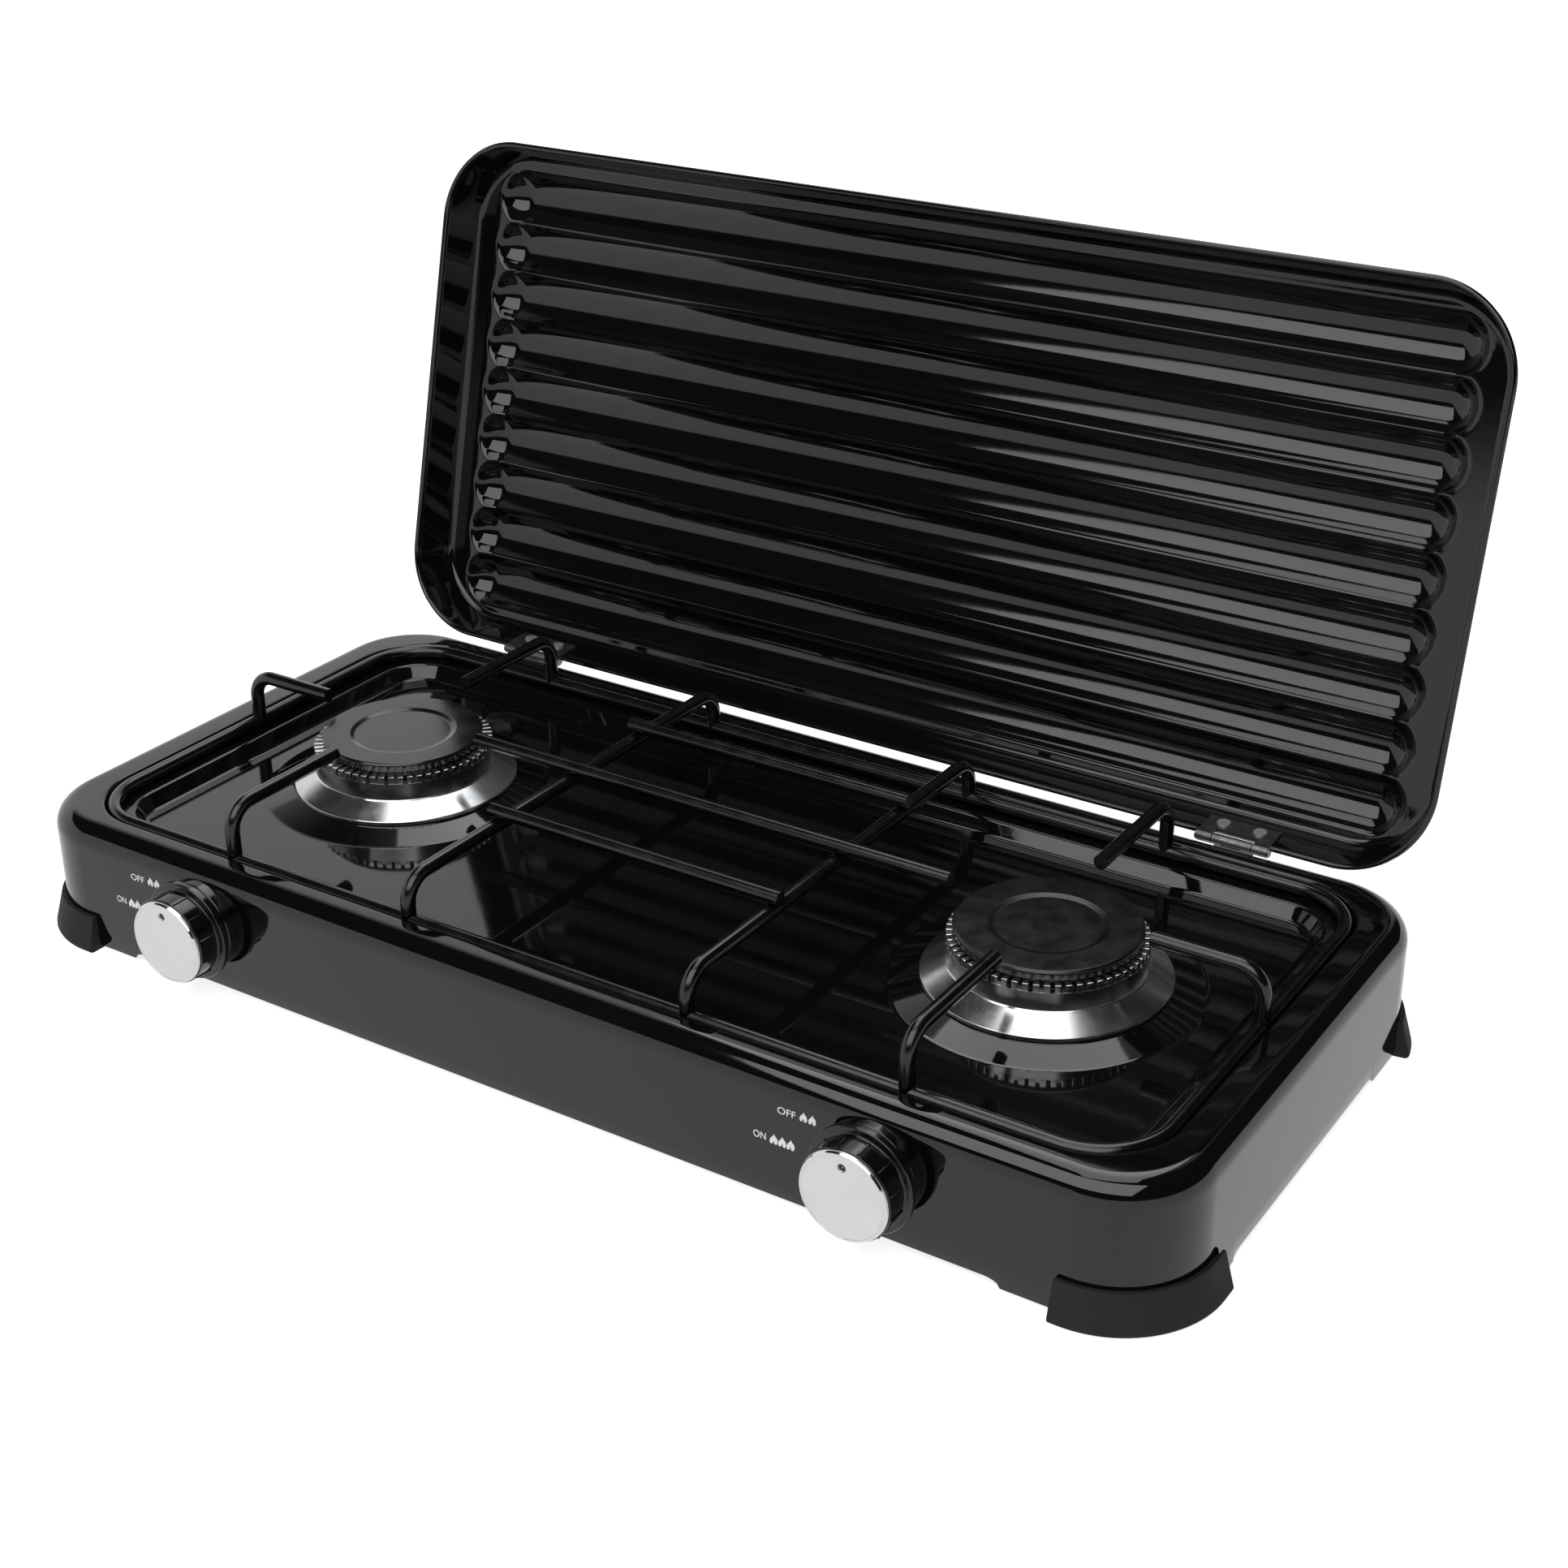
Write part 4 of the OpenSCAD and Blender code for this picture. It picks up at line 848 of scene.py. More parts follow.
@dataclass
class BodyShell:
    """Pressed tray: wall, rounded edge, sunk well with a ledge, and a cone round each burner."""

    window_x: float = 198.0
    window_y: float = 59.0
    window_turn: float = 6.5
    notch_side: float = 1.0
    notch_h: float = 10.0
    notch_in: float = 6.0
    recess_w: float = 494.0
    recess_d: float = 213.2
    recess_r: float = 31.6
    ledge: float = 11.6
    slope: float = 15.6
    cone_r: float = 60.5
    cone_top_r: float = 47.8
    hole_r: float = 32.8
    floor_in: float = 22.0
    split_x: float = 100.0
    wall_rings: Pair = (6.0, 22.0)
    corner_steps: int = 28
    fillet_steps: int = 12
    slack: float = 0.01

    def window_end(self, start: float) -> list[float]:
        """Splits where the wall's lower edge turns down, from the end of its raised stretch."""
        return [start + self.window_turn * k / 6 for k in range(7)]

    def stops_x(self) -> tuple[float, ...]:
        """Splits of the long sides: window ends and hinge notches."""
        notch = [HOB.hinge_x + s * (HOB.hinge_w / 2 + self.notch_side) for s in (-1, 1)]
        return tuple(mirrored(sorted([NEAR_MIDDLE, self.split_x, *notch, *self.window_end(self.window_x)])))

    def stops_y(self) -> tuple[float, ...]:
        """Splits of the short sides: window ends."""
        return tuple(mirrored([NEAR_MIDDLE, *self.window_end(self.window_y)]))

    def edge_height(self, x: float, y: float) -> float:
        """Height of the wall's bottom edge: raised at mid span, lower at the corners.

        Args:
            x: Place on the outline.
            y: Place on the outline.

        Returns:
            Height in millimetres.
        """
        drop = HOB.z_wall - HOB.z_low
        span = abs(x) - self.window_x if abs(abs(y) - HOB.body_d / 2) < 1e-3 else abs(y) - self.window_y
        along = min(max(span / self.window_turn, 0.0), 1.0)
        return HOB.z_wall - drop * (1 - math.sqrt(max(1 - along * along, 0.0)))

    def build(self) -> None:
        """Build the shell from rings: up the wall, over the fillet and down into the well."""
        shape = Shape()
        stops = (self.stops_x(), self.stops_y(), self.corner_steps)
        outer = Outline(HOB.body_w / 2, HOB.body_d / 2, HOB.body_r, *stops)
        recess = Outline(self.recess_w / 2, self.recess_d / 2, self.recess_r, *stops)
        base = outer.points()
        z_notch = HOB.z_top - self.notch_h
        levels = [(outer, 0.0, HOB.z_wall + z) for z in self.wall_rings] + [(outer, 0.0, z_notch)]
        notch_angle = math.degrees(math.acos((HOB.fillet - self.notch_in) / HOB.fillet))
        for a in sorted([90 * k / self.fillet_steps for k in range(self.fillet_steps + 1)] + [notch_angle]):
            off = HOB.fillet * math.cos(math.radians(a)) - HOB.fillet
            levels.append((outer, off, HOB.z_top - HOB.fillet + HOB.fillet * math.sin(math.radians(a))))
        corners = [(3.0, HOB.z_top), (0.0, HOB.z_top), (0.0, HOB.z_ledge), (-self.ledge, HOB.z_ledge),
                   (-self.slope, HOB.z_floor), (-self.floor_in, HOB.z_floor)]
        levels += [(recess, off, z) for off, z in rounded(corners, [0, 1.6, 1.2, 2.2, 2.6, 0], 5)]
        rings = [(shape.ring((x, y, self.edge_height(x, y)) for x, y in base), 0.0, HOB.z_low)]
        for line, off, z in levels:
            ring = shape.ring((x, y, z) for x, y in line.grown(off).points())
            rings.append((ring, off if line is outer else -math.inf, z))
        rear = HOB.body_d / 2 - 1.5
        notch = HOB.hinge_w / 2 + self.notch_side + self.slack

        def in_notch(i: int) -> bool:
            """Segment i lies in a hinge notch of the rear wall."""
            (x, y), (next_x, next_y) = base[i], base[(i + 1) % len(base)]
            return min(y, next_y) > rear and abs(abs(x + next_x) / 2 - HOB.hinge_x) < notch

        for (low, low_off, low_z), (high, high_off, _) in zip(rings, rings[1:]):
            cut = low_z > z_notch - 0.1 and min(low_off, high_off) >= -self.notch_in - self.slack
            shape.bridge(low, high, in_notch if cut else None)
        self.add_floor(shape, rings[-1][0])
        make_piece("enamelled_body_shell", shape.mesh(outward=False), 32, ENAMEL, "hob_body", "black_enamel",
                   "body_shell", sheet=True)

    def add_floor(self, shape: Shape, edge: list[int]) -> None:
        """Fill the well's floor round the two pressed cones and add the cones.

        Args:
            shape: Shape to add to.
            edge: Ring of points where the floor starts.
        """
        steps = 96
        corners = [(self.cone_r + 4.0, HOB.z_floor), (self.cone_r, HOB.z_floor), (self.cone_top_r, HOB.z_cone),
                   (self.cone_top_r - 3.0, HOB.z_cone), (self.hole_r, HOB.z_cone)]
        profile = rounded(corners, [0, 8.0, 4.0, 0, 0], 5)
        circles = []
        turns = [(math.cos(TAU * i / steps), math.sin(TAU * i / steps)) for i in range(steps)]
        for side in Side:
            cx = side.sign * HOB.burner_x
            rings = [shape.ring((cx + r * c, r * s, z) for c, s in turns) for r, z in profile]
            for low, high in zip(rings, rings[1:]):
                shape.bridge(low, high)
            circles.append(rings[0])
        work = bmesh.new()
        edges = []
        for ring in (edge, *circles):
            verts = [work.verts.new(shape.points[i]) for i in ring]
            for vert in verts:
                vert.normal = (0, 0, 1)
            edges += [work.edges.new((verts[k], verts[(k + 1) % len(verts)])) for k in range(len(verts))]
        order = [*edge, *circles[0], *circles[1]]
        work.verts.index_update()
        bmesh.ops.triangle_fill(work, use_beauty=True, use_dissolve=False, edges=edges, normal=(0, 0, 1))
        for face in work.faces:
            corners = [order[v.index] for v in face.verts]
            shape.faces.append(tuple(corners if face.normal.z > 0 else reversed(corners)))
        work.free()


# ---------------------------------------------------------------- lid


@dataclass
class Lid:
    """Pressed lid with nine ribs, a leaning wall and a rolled rim, open on its stop."""

    width: float = 517.6
    depth: float = 234.2
    radius: float = 38.6
    z_rim: float = 57.1
    z_border: float = 77.8
    shoulder: float = 9.5
    edge_r: float = 4.0
    bead_w: float = 2.6
    bead_h: float = 3.0
    rib_pitch: float = 22.9
    rib_r: float = 14.0
    rib_rise: float = 8.1
    rib_count: int = 9
    rib_half_l: float = 227.3
    ridge_round: float = 0.9
    rows: int = 288
    open_deg: float = 103.8
    axis_y: float = 117.4827
    axis_z: float = 57.2163
    notch: float = 16.5
    bead_steps: int = 14

    def opened(self, point: Sequence[float]) -> Point:
        """Turn a point of the closed lid to the lid's place on its stop.

        Args:
            point: Point of the closed lid.

        Returns:
            The same point of the open lid.
        """
        c, s = math.cos(math.radians(self.open_deg)), math.sin(math.radians(self.open_deg))
        y, z = point[1] - self.axis_y, point[2] - self.axis_z
        return (point[0], self.axis_y + y * c + z * s, self.axis_z - y * s + z * c)

    def height(self, x: float, y: float) -> float:
        """Height of the pressed ribs above the border at a point.

        Args:
            x: Distance along the ribs from the middle.
            y: Distance across the ribs from the middle.

        Returns:
            Height in millimetres, with softened ridges.
        """
        drop = self.rib_r - self.rib_rise
        total = 0.0
        over = max(abs(x) - self.rib_half_l, 0.0)
        for i in range(self.rib_count):
            across = y - (i - (self.rib_count - 1) / 2) * self.rib_pitch
            dist2 = over * over + across * across
            if dist2 < self.rib_r**2:
                total += math.exp((math.sqrt(self.rib_r**2 - dist2) - drop) / self.ridge_round)
        return self.ridge_round * math.log(total + 1.0)

    def grid(self) -> tuple[list[float], list[float]]:
        """Columns and rows of the pressed field, close together where it curves.

        Returns:
            X of the columns and Y of the rows.
        """
        half_w, half_d = self.width / 2 - self.shoulder, self.depth / 2 - self.shoulder
        notch = [HOB.hinge_x - self.notch, HOB.hinge_x, HOB.hinge_x + self.notch]
        cols = [NEAR_MIDDLE, 60.0, 120.0, *notch, 204.0, *np.arange(212.0, 244.0, 0.8), 245.5, half_w]
        return mirrored(cols), list(np.linspace(-half_d, half_d, self.rows))

    def build(self) -> None:
        """Build the lid: the pressed field with round corners, the wall and the rim, then open it."""
        cols, rows = self.grid()
        inner_r = self.radius - self.shoulder
        cx, cy = cols[-1] - inner_r, rows[-1] - inner_r
        shape = Shape()
        grid: list[list[int]] = []
        for y0 in rows:
            line = []
            for x0 in cols:
                x, y = x0, y0
                if abs(x0) > cx and abs(y0) > cy:
                    u, v = (abs(x0) - cx) / inner_r, (abs(y0) - cy) / inner_r
                    x = math.copysign(cx + inner_r * u * math.sqrt(1 - v * v / 2), x0)
                    y = math.copysign(cy + inner_r * v * math.sqrt(1 - u * u / 2), y0)
                line.append((x, y, self.z_border + self.height(x, y)))
            grid.append(shape.ring(line))
        for low, high in zip(grid, grid[1:]):
            for i in range(len(low) - 1):
                shape.faces.append((low[i], high[i], high[i + 1], low[i + 1]))
        border = grid[0] + [g[-1] for g in grid[1:-1]] + grid[-1][::-1] + [g[0] for g in reversed(grid[1:-1])]
        self.add_wall(shape, border, cx, cy)
        shape.points = [self.opened(p) for p in shape.points]
        make_piece("enamelled_lid", shape.mesh(outward=False), 50, LID_ENAMEL, "lid", "black_enamel", "lid_pan",
                   sheet=True)

    def add_wall(self, shape: Shape, border: list[int], cx: float, cy: float) -> None:
        """Add the rounded shoulder, the leaning wall and the rolled rim outside the border.

        Args:
            shape: Shape to add to.
            border: Ring of points round the flat border.
            cx: X of the corner centres.
            cy: Y of the corner centres.
        """
        starts = [shape.points[i] for i in border]
        normals = []
        for x, y, _ in starts:
            dx, dy = max(abs(x) - cx, 0.0), max(abs(y) - cy, 0.0)
            if dx > 1e-6 and dy > 1e-6:
                size = math.hypot(dx, dy)
                normals.append((math.copysign(dx / size, x), math.copysign(dy / size, y)))
            elif abs(x) > cx + 1e-6:
                normals.append((math.copysign(1.0, x), 0.0))
            else:
                normals.append((0.0, math.copysign(1.0, y)))
        r = self.edge_r - HOB.sheet
        up = self.z_border + HOB.sheet - self.edge_r
        lean = math.degrees(
            math.acos(self.edge_r / math.hypot(self.shoulder, up - self.z_rim))
            - math.atan2(up - self.z_rim, self.shoulder)
        )
        profile = [(x + self.shoulder, z) for x, z in arc(-self.shoulder, up, r, 90, lean, 8)][1:]
        foot = self.bead_h * 0.8
        profile.append((self.shoulder - foot * math.tan(math.radians(lean)) - HOB.sheet, self.z_rim + foot))
        split = self.bead_h + 0.6
        wall = profile[-2:]
        share = (wall[0][1] - self.z_rim - split) / (wall[0][1] - wall[1][1])
        profile.insert(-1, (wall[0][0] + (wall[1][0] - wall[0][0]) * share, self.z_rim + split))
        rings = [border]
        for off, z in profile:
            rings.append(shape.ring((p[0] + n[0] * off, p[1] + n[1] * off, z) for p, n in zip(starts, normals)))

        def in_notch(i: int) -> bool:
            """Segment i lies in a hinge notch of the rear wall."""
            (x, y, _), (next_x, next_y, _) = starts[i], starts[(i + 1) % len(starts)]
            middle = abs(x + next_x) / 2
            return min(y, next_y) > cy and middle < cx and abs(middle - HOB.hinge_x) < self.notch

        for low, high in zip(rings[:-2], rings[1:]):
            shape.bridge(low, high)
        shape.bridge(rings[-2], rings[-1], in_notch)
        self.add_bead(shape, starts, normals, in_notch)

    def add_bead(
        self, shape: Shape, starts: list[Point], normals: list[Pair], in_notch: Callable[[int], bool]
    ) -> None:
        """Add the rolled rim as a tube that stops at the hinge notches.

        Args:
            shape: Shape to add to.
            starts: Points round the flat border.
            normals: Outward direction at each point.
            in_notch: Says which segments lie in a notch.
        """
        rings = []
        for a in range(self.bead_steps):
            off = self.shoulder - self.bead_w / 2 + self.bead_w / 2 * math.cos(TAU * a / self.bead_steps)
            z = self.z_rim + self.bead_h / 2 + self.bead_h / 2 * math.sin(TAU * a / self.bead_steps)
            rings.append(shape.ring((p[0] + n[0] * off, p[1] + n[1] * off, z) for p, n in zip(starts, normals)))
        for low, high in zip(rings, rings[1:] + rings[:1]):
            shape.bridge(low, high, in_notch)
        for i in range(len(starts)):
            before, after = in_notch((i - 1) % len(starts)), in_notch(i)
            if before != after:
                shape.cap([ring[i] for ring in rings], flip=before)


# ---------------------------------------------------------------- grate


@dataclass
class Grate:
    """Pan support welded from round wire: frame, bridges, cross wires and fingers."""

    z_frame: float = 53.8
    z_bridge: float = 70.8
    z_finger: float = 76.4
    bend: float = 10.5
    bridge_x: float = 65.5
    cross_y: float = 47.0
    cross_over: float = 3.5
    free_r: float = 42.0

    def build(self) -> None:
        """Build the six pieces of the grate."""
        x, y, z = HOB.frame_w / 2, HOB.frame_d / 2, self.z_frame
        self.piece("grate_frame_wire", [[(x, -y, z), (x, y, z), (-x, y, z), (-x, -y, z)]], "grate_frame", HOB.frame_r)
        for side in Side:
            x = side.sign * self.bridge_x
            path = [(x, -y, z), (x, -y, self.z_bridge), (x, y, self.z_bridge), (x, y, z)]
            self.piece(f"bridge_wire_{side}", [path], f"grate_bridge_{side}")
            self.piece(f"finger_wires_{side}", self.fingers(side), f"grate_fingers_{side}")
        cross = self.bridge_x + self.cross_over
        reach = {0.0: HOB.burner_x - self.free_r, -self.cross_y: cross, self.cross_y: cross}
        wires = [[(-x, y, self.z_finger), (x, y, self.z_finger)] for y, x in reach.items()]
        self.piece("cross_wires", wires, "grate_cross_wires")

    def fingers(self, side: Side) -> list[list[Point]]:
        """Paths of the three fingers round one burner.

        Args:
            side: The burner's side.

        Returns:
            The three centrelines.
        """
        cx, far = side.sign * HOB.burner_x, side.sign * HOB.frame_w / 2
        half_d, low, high = HOB.frame_d / 2, self.z_frame, self.z_finger
        paths = [[(cx, s * half_d, low), (cx, s * half_d, high), (cx, s * self.free_r, high)] for s in (-1, 1)]
        return paths + [[(far, 0.0, low), (far, 0.0, high), (cx + side.sign * self.free_r, 0.0, high)]]

    def piece(self, name: str, paths: list[list[Point]], node: str, loop_bend: float | None = None) -> None:
        """Make one wire piece.

        Args:
            name: Name of the piece.
            paths: Centrelines.
            node: CAD node that it replaces.
            loop_bend: The paths are closed loops, with this bend radius.
        """
        mesh = BENT_WIRE.mesh(paths, HOB.wire_r, loop_bend or self.bend, WIRE_ENAMEL, loop_bend is not None)
        smooth(mesh, 40)
        finished(new_object(name, mesh, WIRE_ENAMEL.build()), "grate", "black_enamel", node)


# ---------------------------------------------------------------- burners


@dataclass
class Burner:
    """Burner head with flame slots and its cap."""

    side: Side
    cap_r: float
    cap_finish: Finish
    cap_slot: str
    z_lip: float = 48.3
    lip: float = 1.6
    z_skirt: float = 55.0
    z_crown: float = 66.2
    crown_r: float = 38.2
    crown_in: float = 33.0
    skirt_r: float = 47.8
    slot_n: int = 60
    slot_w: float = 1.4
    deep: float = 3.2
    shallow: float = 1.7
    cap_h: float = 4.3
    dish_r: float = 21.0
    neck_r: float = 32.5
    cup_t: float = 2.5
    bevel: float = 0.35
    overlap: float = 0.2

    @property
    def centre(self) -> Point:
        """Centre of the burner on the table's plane."""
        return (self.side.sign * HOB.burner_x, 0.0, 0.0)

    def build(self) -> None:
        """Build the head and the cap."""
        self.build_head()
        self.build_cap()

    def build_head(self) -> None:
        """Build the die-cast head: turned skirt, crown, its teeth and the raised floors of its shallow slots."""
        finish = turned_aluminium(self.side, self.centre)
        z_neck = self.z_skirt - 0.4
        z_slot = self.z_crown - self.deep
        cup_r = self.neck_r - self.cup_t
        sleeve = self.neck_r + 0.3
        corners = [
            (self.skirt_r - 1.2, self.z_lip), (self.skirt_r, self.z_lip), (self.skirt_r, self.z_lip + self.lip),
            (self.crown_r + 0.6, self.z_skirt), (self.crown_r, self.z_skirt + 0.5), (self.crown_r, z_slot),
            (self.crown_in, z_slot), (self.crown_in, z_neck + 2.5), (cup_r, z_neck + 2.5), (cup_r, z_neck),
            (sleeve, z_neck), (sleeve, z_neck - 3.0), (sleeve + 2.0, z_neck - 3.0), (sleeve + 2.0, self.z_skirt - 1.6),
            (self.crown_r, self.z_skirt - 1.6), (self.skirt_r - 1.2, self.z_lip),
        ]
        radii = [0, 0.4, 0.6, 0.8, 0.3, 0, 0, 0.5, 0.4, 0.4, 0, 0.3, 0.3, 0.5, 0.5, 0]
        shape = Shape()
        shape.lathe(rounded(corners, radii, 3)[:-1], self.centre, 160)
        tooth, web = self.slot_parts()
        up, n = (0, 0, 1), self.slot_n
        teeth = COPY_RING.mesh(tooth, n, finish, up, self.centre, math.pi / n)
        webs = COPY_RING.mesh(web, n // 2, finish, up, self.centre, TAU / n)
        make_piece(f"burner_head_casting_{self.side}", join([shape.mesh(), teeth, webs]), 30, finish,
                   f"head_{self.side}", "cast_aluminium", f"burner_head_{self.side}")

    def slot_parts(self) -> tuple[bpy.types.Mesh, bpy.types.Mesh]:
        """Make a tooth between two flame slots and the raised floor of a shallow slot, along +X.

        Returns:
            The two meshes, in metres about the origin.
        """
        low = self.z_crown - self.deep - self.overlap
        r0, r1 = self.crown_in, self.crown_r
        h0, h1 = (math.pi * r / self.slot_n - self.slot_w / 2 for r in (r0, r1))
        tooth = [(r0, -h0), (r1, -h1), (r1, h1), (r0, h0)]
        half, end = self.slot_w / 2 + self.overlap, r1 - 0.15
        web = [(r0, -half), (end, -half), (end, half), (r0, half)]
        made = []
        for flat, top, bevel in ((tooth, self.z_crown, self.bevel), (web, self.z_crown - self.shallow, 0.0)):
            made.append(prism([(x, y, low) for x, y in flat], [(x, y, top) for x, y in flat], bevel))
        return made[0], made[1]

    def build_cap(self) -> None:
        """Build the enamelled cap with its dish and rolled edge."""
        z, top = self.z_crown, self.z_crown + self.cap_h
        ring = self.crown_in - 0.3
        corners = [
            (0.0, z), (ring - 2.0, z), (ring - 2.0, z - 2.0), (ring, z - 2.0), (ring, z), (self.cap_r - 0.8, z),
            (self.cap_r, top - 1.0), (self.cap_r - 0.8, top), (self.dish_r + 1.8, top - 0.1),
            (self.dish_r - 0.4, top - 0.9), (0.0, top - 0.8),
        ]
        shape = Shape()
        radii = [0, 0.3, 0.3, 0.3, 0.3, 0.8, 0.8, 0.9, 2.4, 2.4, 0]
        shape.lathe(rounded(corners, radii, 4), self.centre, 144)
        make_piece(f"burner_cap_enamelled_{self.side}", shape.mesh(), 40, self.cap_finish, f"cap_{self.side}",
                   self.cap_slot, f"burner_cap_{self.side}")


# ---------------------------------------------------------------- knobs


@dataclass
class Knob:
    """Tap knob: ribbed barrel, metal face and the fixed collar behind it."""

    side: Side
    proud: float = 20.4
    face_r: float = 17.6
    face_t: float = 1.8
    face_in: float = 0.05
    rim_w: float = 1.5
    barrel_r: float = 18.1
    skin: float = 2.0
    flare_r: float = 20.9
    flare_back: float = 6.0
    flare_h: float = 3.0
    collar_r: float = 19.2
    collar_h: float = 4.8
    collar_t: float = 1.5
    thread_r: float = 6.9
    hub_r: float = 6.0
    spindle_r: float = 3.05
    z_hub: float = 8.9
    rib_n: int = 12
    rib_first_deg: float = 15.0
    rib_rise: float = 0.45
    pit_r: float = 9.0
    dimple_down: float = 5.6
    dimple_r: float = 1.7

    @property
    def centre(self) -> Point:
        """Where the tap's axis meets the front wall."""
        return (HOB.tap_x_right if self.side is Side.RIGHT else HOB.tap_x_left, HOB.front, HOB.z_tap)

    @property
    def dimple(self) -> Point:
        """Where the pointer dimple's axis meets the front wall."""
        x, y, z = self.centre
        return (x, y, z + self.face_r - self.dimple_down)

    @property
    def back(self) -> float:
        """Distance of the face's back from the wall."""
        return self.proud - self.face_t

    def build(self) -> None:
        """Build the pieces."""
        self.build_collar()
        self.build_barrel()
        self.build_face()
        self.build_rim()
        self.build_pointer()

    @staticmethod
    def turned(profile: Sequence[Pair], centre: Point, steps: int = 128) -> bpy.types.Mesh:
        """Turn a closed profile of (radius, distance from the wall) about an axis towards the front.

        Args:
            profile: The profile's points.
            centre: Where the axis meets the wall.
            steps: Segments round the axis.

        Returns:
            The mesh in the row frame.
        """
        shape = Shape()
        shape.lathe(profile, centre, steps, Axis.FORWARD)
        return shape.mesh()

    def build_collar(self) -> None:
        """Build the collar on the front wall."""
        inner, outer, h, t = self.thread_r + 0.3, self.collar_r, self.collar_h, self.collar_t
        corners = [(outer - t, 0.0), (outer, 0.0), (outer, h), (inner, h), (inner, h - t), (outer - t, h - t),
                   (outer - t, 0.0)]
        mesh = self.turned(rounded(corners, [0, 0.2, 1.2, 0.3, 0.2, 0.5, 0], 4)[:-1], self.centre)
        make_piece(f"knob_collar_moulding_{self.side}", mesh, 35, KNOB_PLASTIC, "hob_body", "black_plastic",
                   f"knob_collar_{self.side}")

    def build_barrel(self) -> None:
        """Build the barrel, its flange, its hub and its grip ribs."""
        flare_front = self.flare_back + self.flare_h
        inner, lap, web = self.barrel_r - self.skin, self.collar_r + 0.4, flare_front - 0.8
        corners = [
            (inner, web), (lap, web), (lap, self.flare_back), (self.flare_r, self.flare_back),
            (self.flare_r, flare_front), (self.barrel_r, flare_front + 0.4), (self.barrel_r, self.back),
            (0.0, self.back), (0.0, self.back - self.skin), (inner, self.back - self.skin), (inner, web),
        ]
        body = self.turned(rounded(corners, [0, 0.2, 0.2, 0.5, 0.7, 0.8, 0.5, 0, 0, 0.5, 0], 4)[:-1], self.centre)
        r0, r1, z0, z1 = self.spindle_r, self.hub_r, self.z_hub, self.back - 1.0
        hub = self.turned([(r0, z0), (r1, z0), (r1, z1), (r0, z1)], self.centre, 64)
        rib = self.grip_rib(flare_front + 1.0, self.back - 0.9)
        ribs = COPY_RING.mesh(rib, self.rib_n, KNOB_PLASTIC, (0, 1, 0), self.centre, math.radians(self.rib_first_deg))
        make_piece(f"knob_barrel_moulding_{self.side}", join([body, hub, ribs]), 35, KNOB_PLASTIC,
                   f"knob_{self.side}", "black_plastic", f"knob_barrel_{self.side}")

    def grip_rib(self, low: float, high: float) -> bpy.types.Mesh:
        """Make one low rib of the barrel, about the origin, upright and along -Y.

        Args:
            low: Distance of its back end.
            high: Distance of its front end.

        Returns:
            The mesh, in metres.
        """
        inner, outer = self.barrel_r - 0.6, self.barrel_r + self.rib_rise
        half = [(0.2, outer), (0.4, outer - 0.15), (0.7, inner)]
        section = [(-x, z) for x, z in reversed(half)] + half
        return prism([(x, -high, z) for x, z in section], [(x, -low, z) for x, z in section])

    def build_face(self) -> None:
        """Build the satin face disc, whose front falls to its back's centre inside pit_r, and press its dimple."""
        edge, z = self.face_r - self.rim_w, self.proud - self.face_in
        corners = [(0.0, self.back), (edge, self.back), (edge, z), (0.0, z)]
        mesh = self.turned(rounded(corners, [0, 0, 0.1, 0], 3)[:-1] + [(self.pit_r, z)], self.centre)
        smooth(mesh, 25)
        obj = new_object("face", mesh, spun_face(self.side, self.centre).build())
        steps = [(0.0, -0.75), (1.45, -0.75), (self.dimple_r, -0.5), (self.dimple_r, -0.1), (1.95, 0.15), (1.95, 1.0),
                 (0.0, 1.0)]
        plug = self.turned([(r, self.proud + z) for r, z in steps], self.dimple, 40)
        cutter = new_object("dimple_cutter", plug, KNOB_PLASTIC.build())
        cut = obj.modifiers.new("dimple", "BOOLEAN")
        cut.operation = "DIFFERENCE"
        cut.solver = "EXACT"
        cut.object = cutter
        pressed = evaluated(obj)
        for helper in (obj, cutter):
            bpy.data.objects.remove(helper)
        make_piece(f"knob_face_disc_{self.side}", pressed, 25, spun_face(self.side, self.centre),
                   f"knob_{self.side}", "knob_aluminium", f"knob_face_{self.side}")

    def build_rim(self) -> None:
        """Build the polished, grooved rim that frames the face."""
        r, back, edge = self.face_r, self.back, self.face_r - self.rim_w
        corners = [
            (edge, back), (r, back), (r, back + 0.5), (r - 0.3, back + 0.62), (r - 0.3, back + 0.78),
            (r - 0.05, back + 0.9), (r - 0.6, self.proud - 0.15), (r - 1.1, self.proud), (edge, self.proud),
            (edge, back),
        ]
        mesh = self.turned(rounded(corners, [0, 0.1, 0.15, 0, 0, 0.15, 0.4, 0.3, 0.1, 0], 4)[:-1], self.centre)
        make_piece(f"knob_rim_{self.side}", mesh, 40, POLISHED_RIM, f"knob_{self.side}", "knob_aluminium")

    def build_pointer(self) -> None:
        """Build a thin black disc that sits down in the pointer dimple, so that the dimple looks dark."""
        deep = self.proud - 0.85
        profile = rounded([(0.0, deep), (1.5, deep), (1.5, deep + 0.35), (0.0, deep + 0.2)], [0, 0, 0.1, 0], 3)
        mesh = self.turned(profile[:-1] + [(0.4, deep + 0.22)], self.dimple, 32)
        # A thin black disc sits in the pointer dimple and makes it dark.
        make_piece(f"pointer_lacquer_{self.side}", mesh, 40, KNOB_PLASTIC, f"knob_{self.side}", "black_plastic")


# ---------------------------------------------------------------- feet


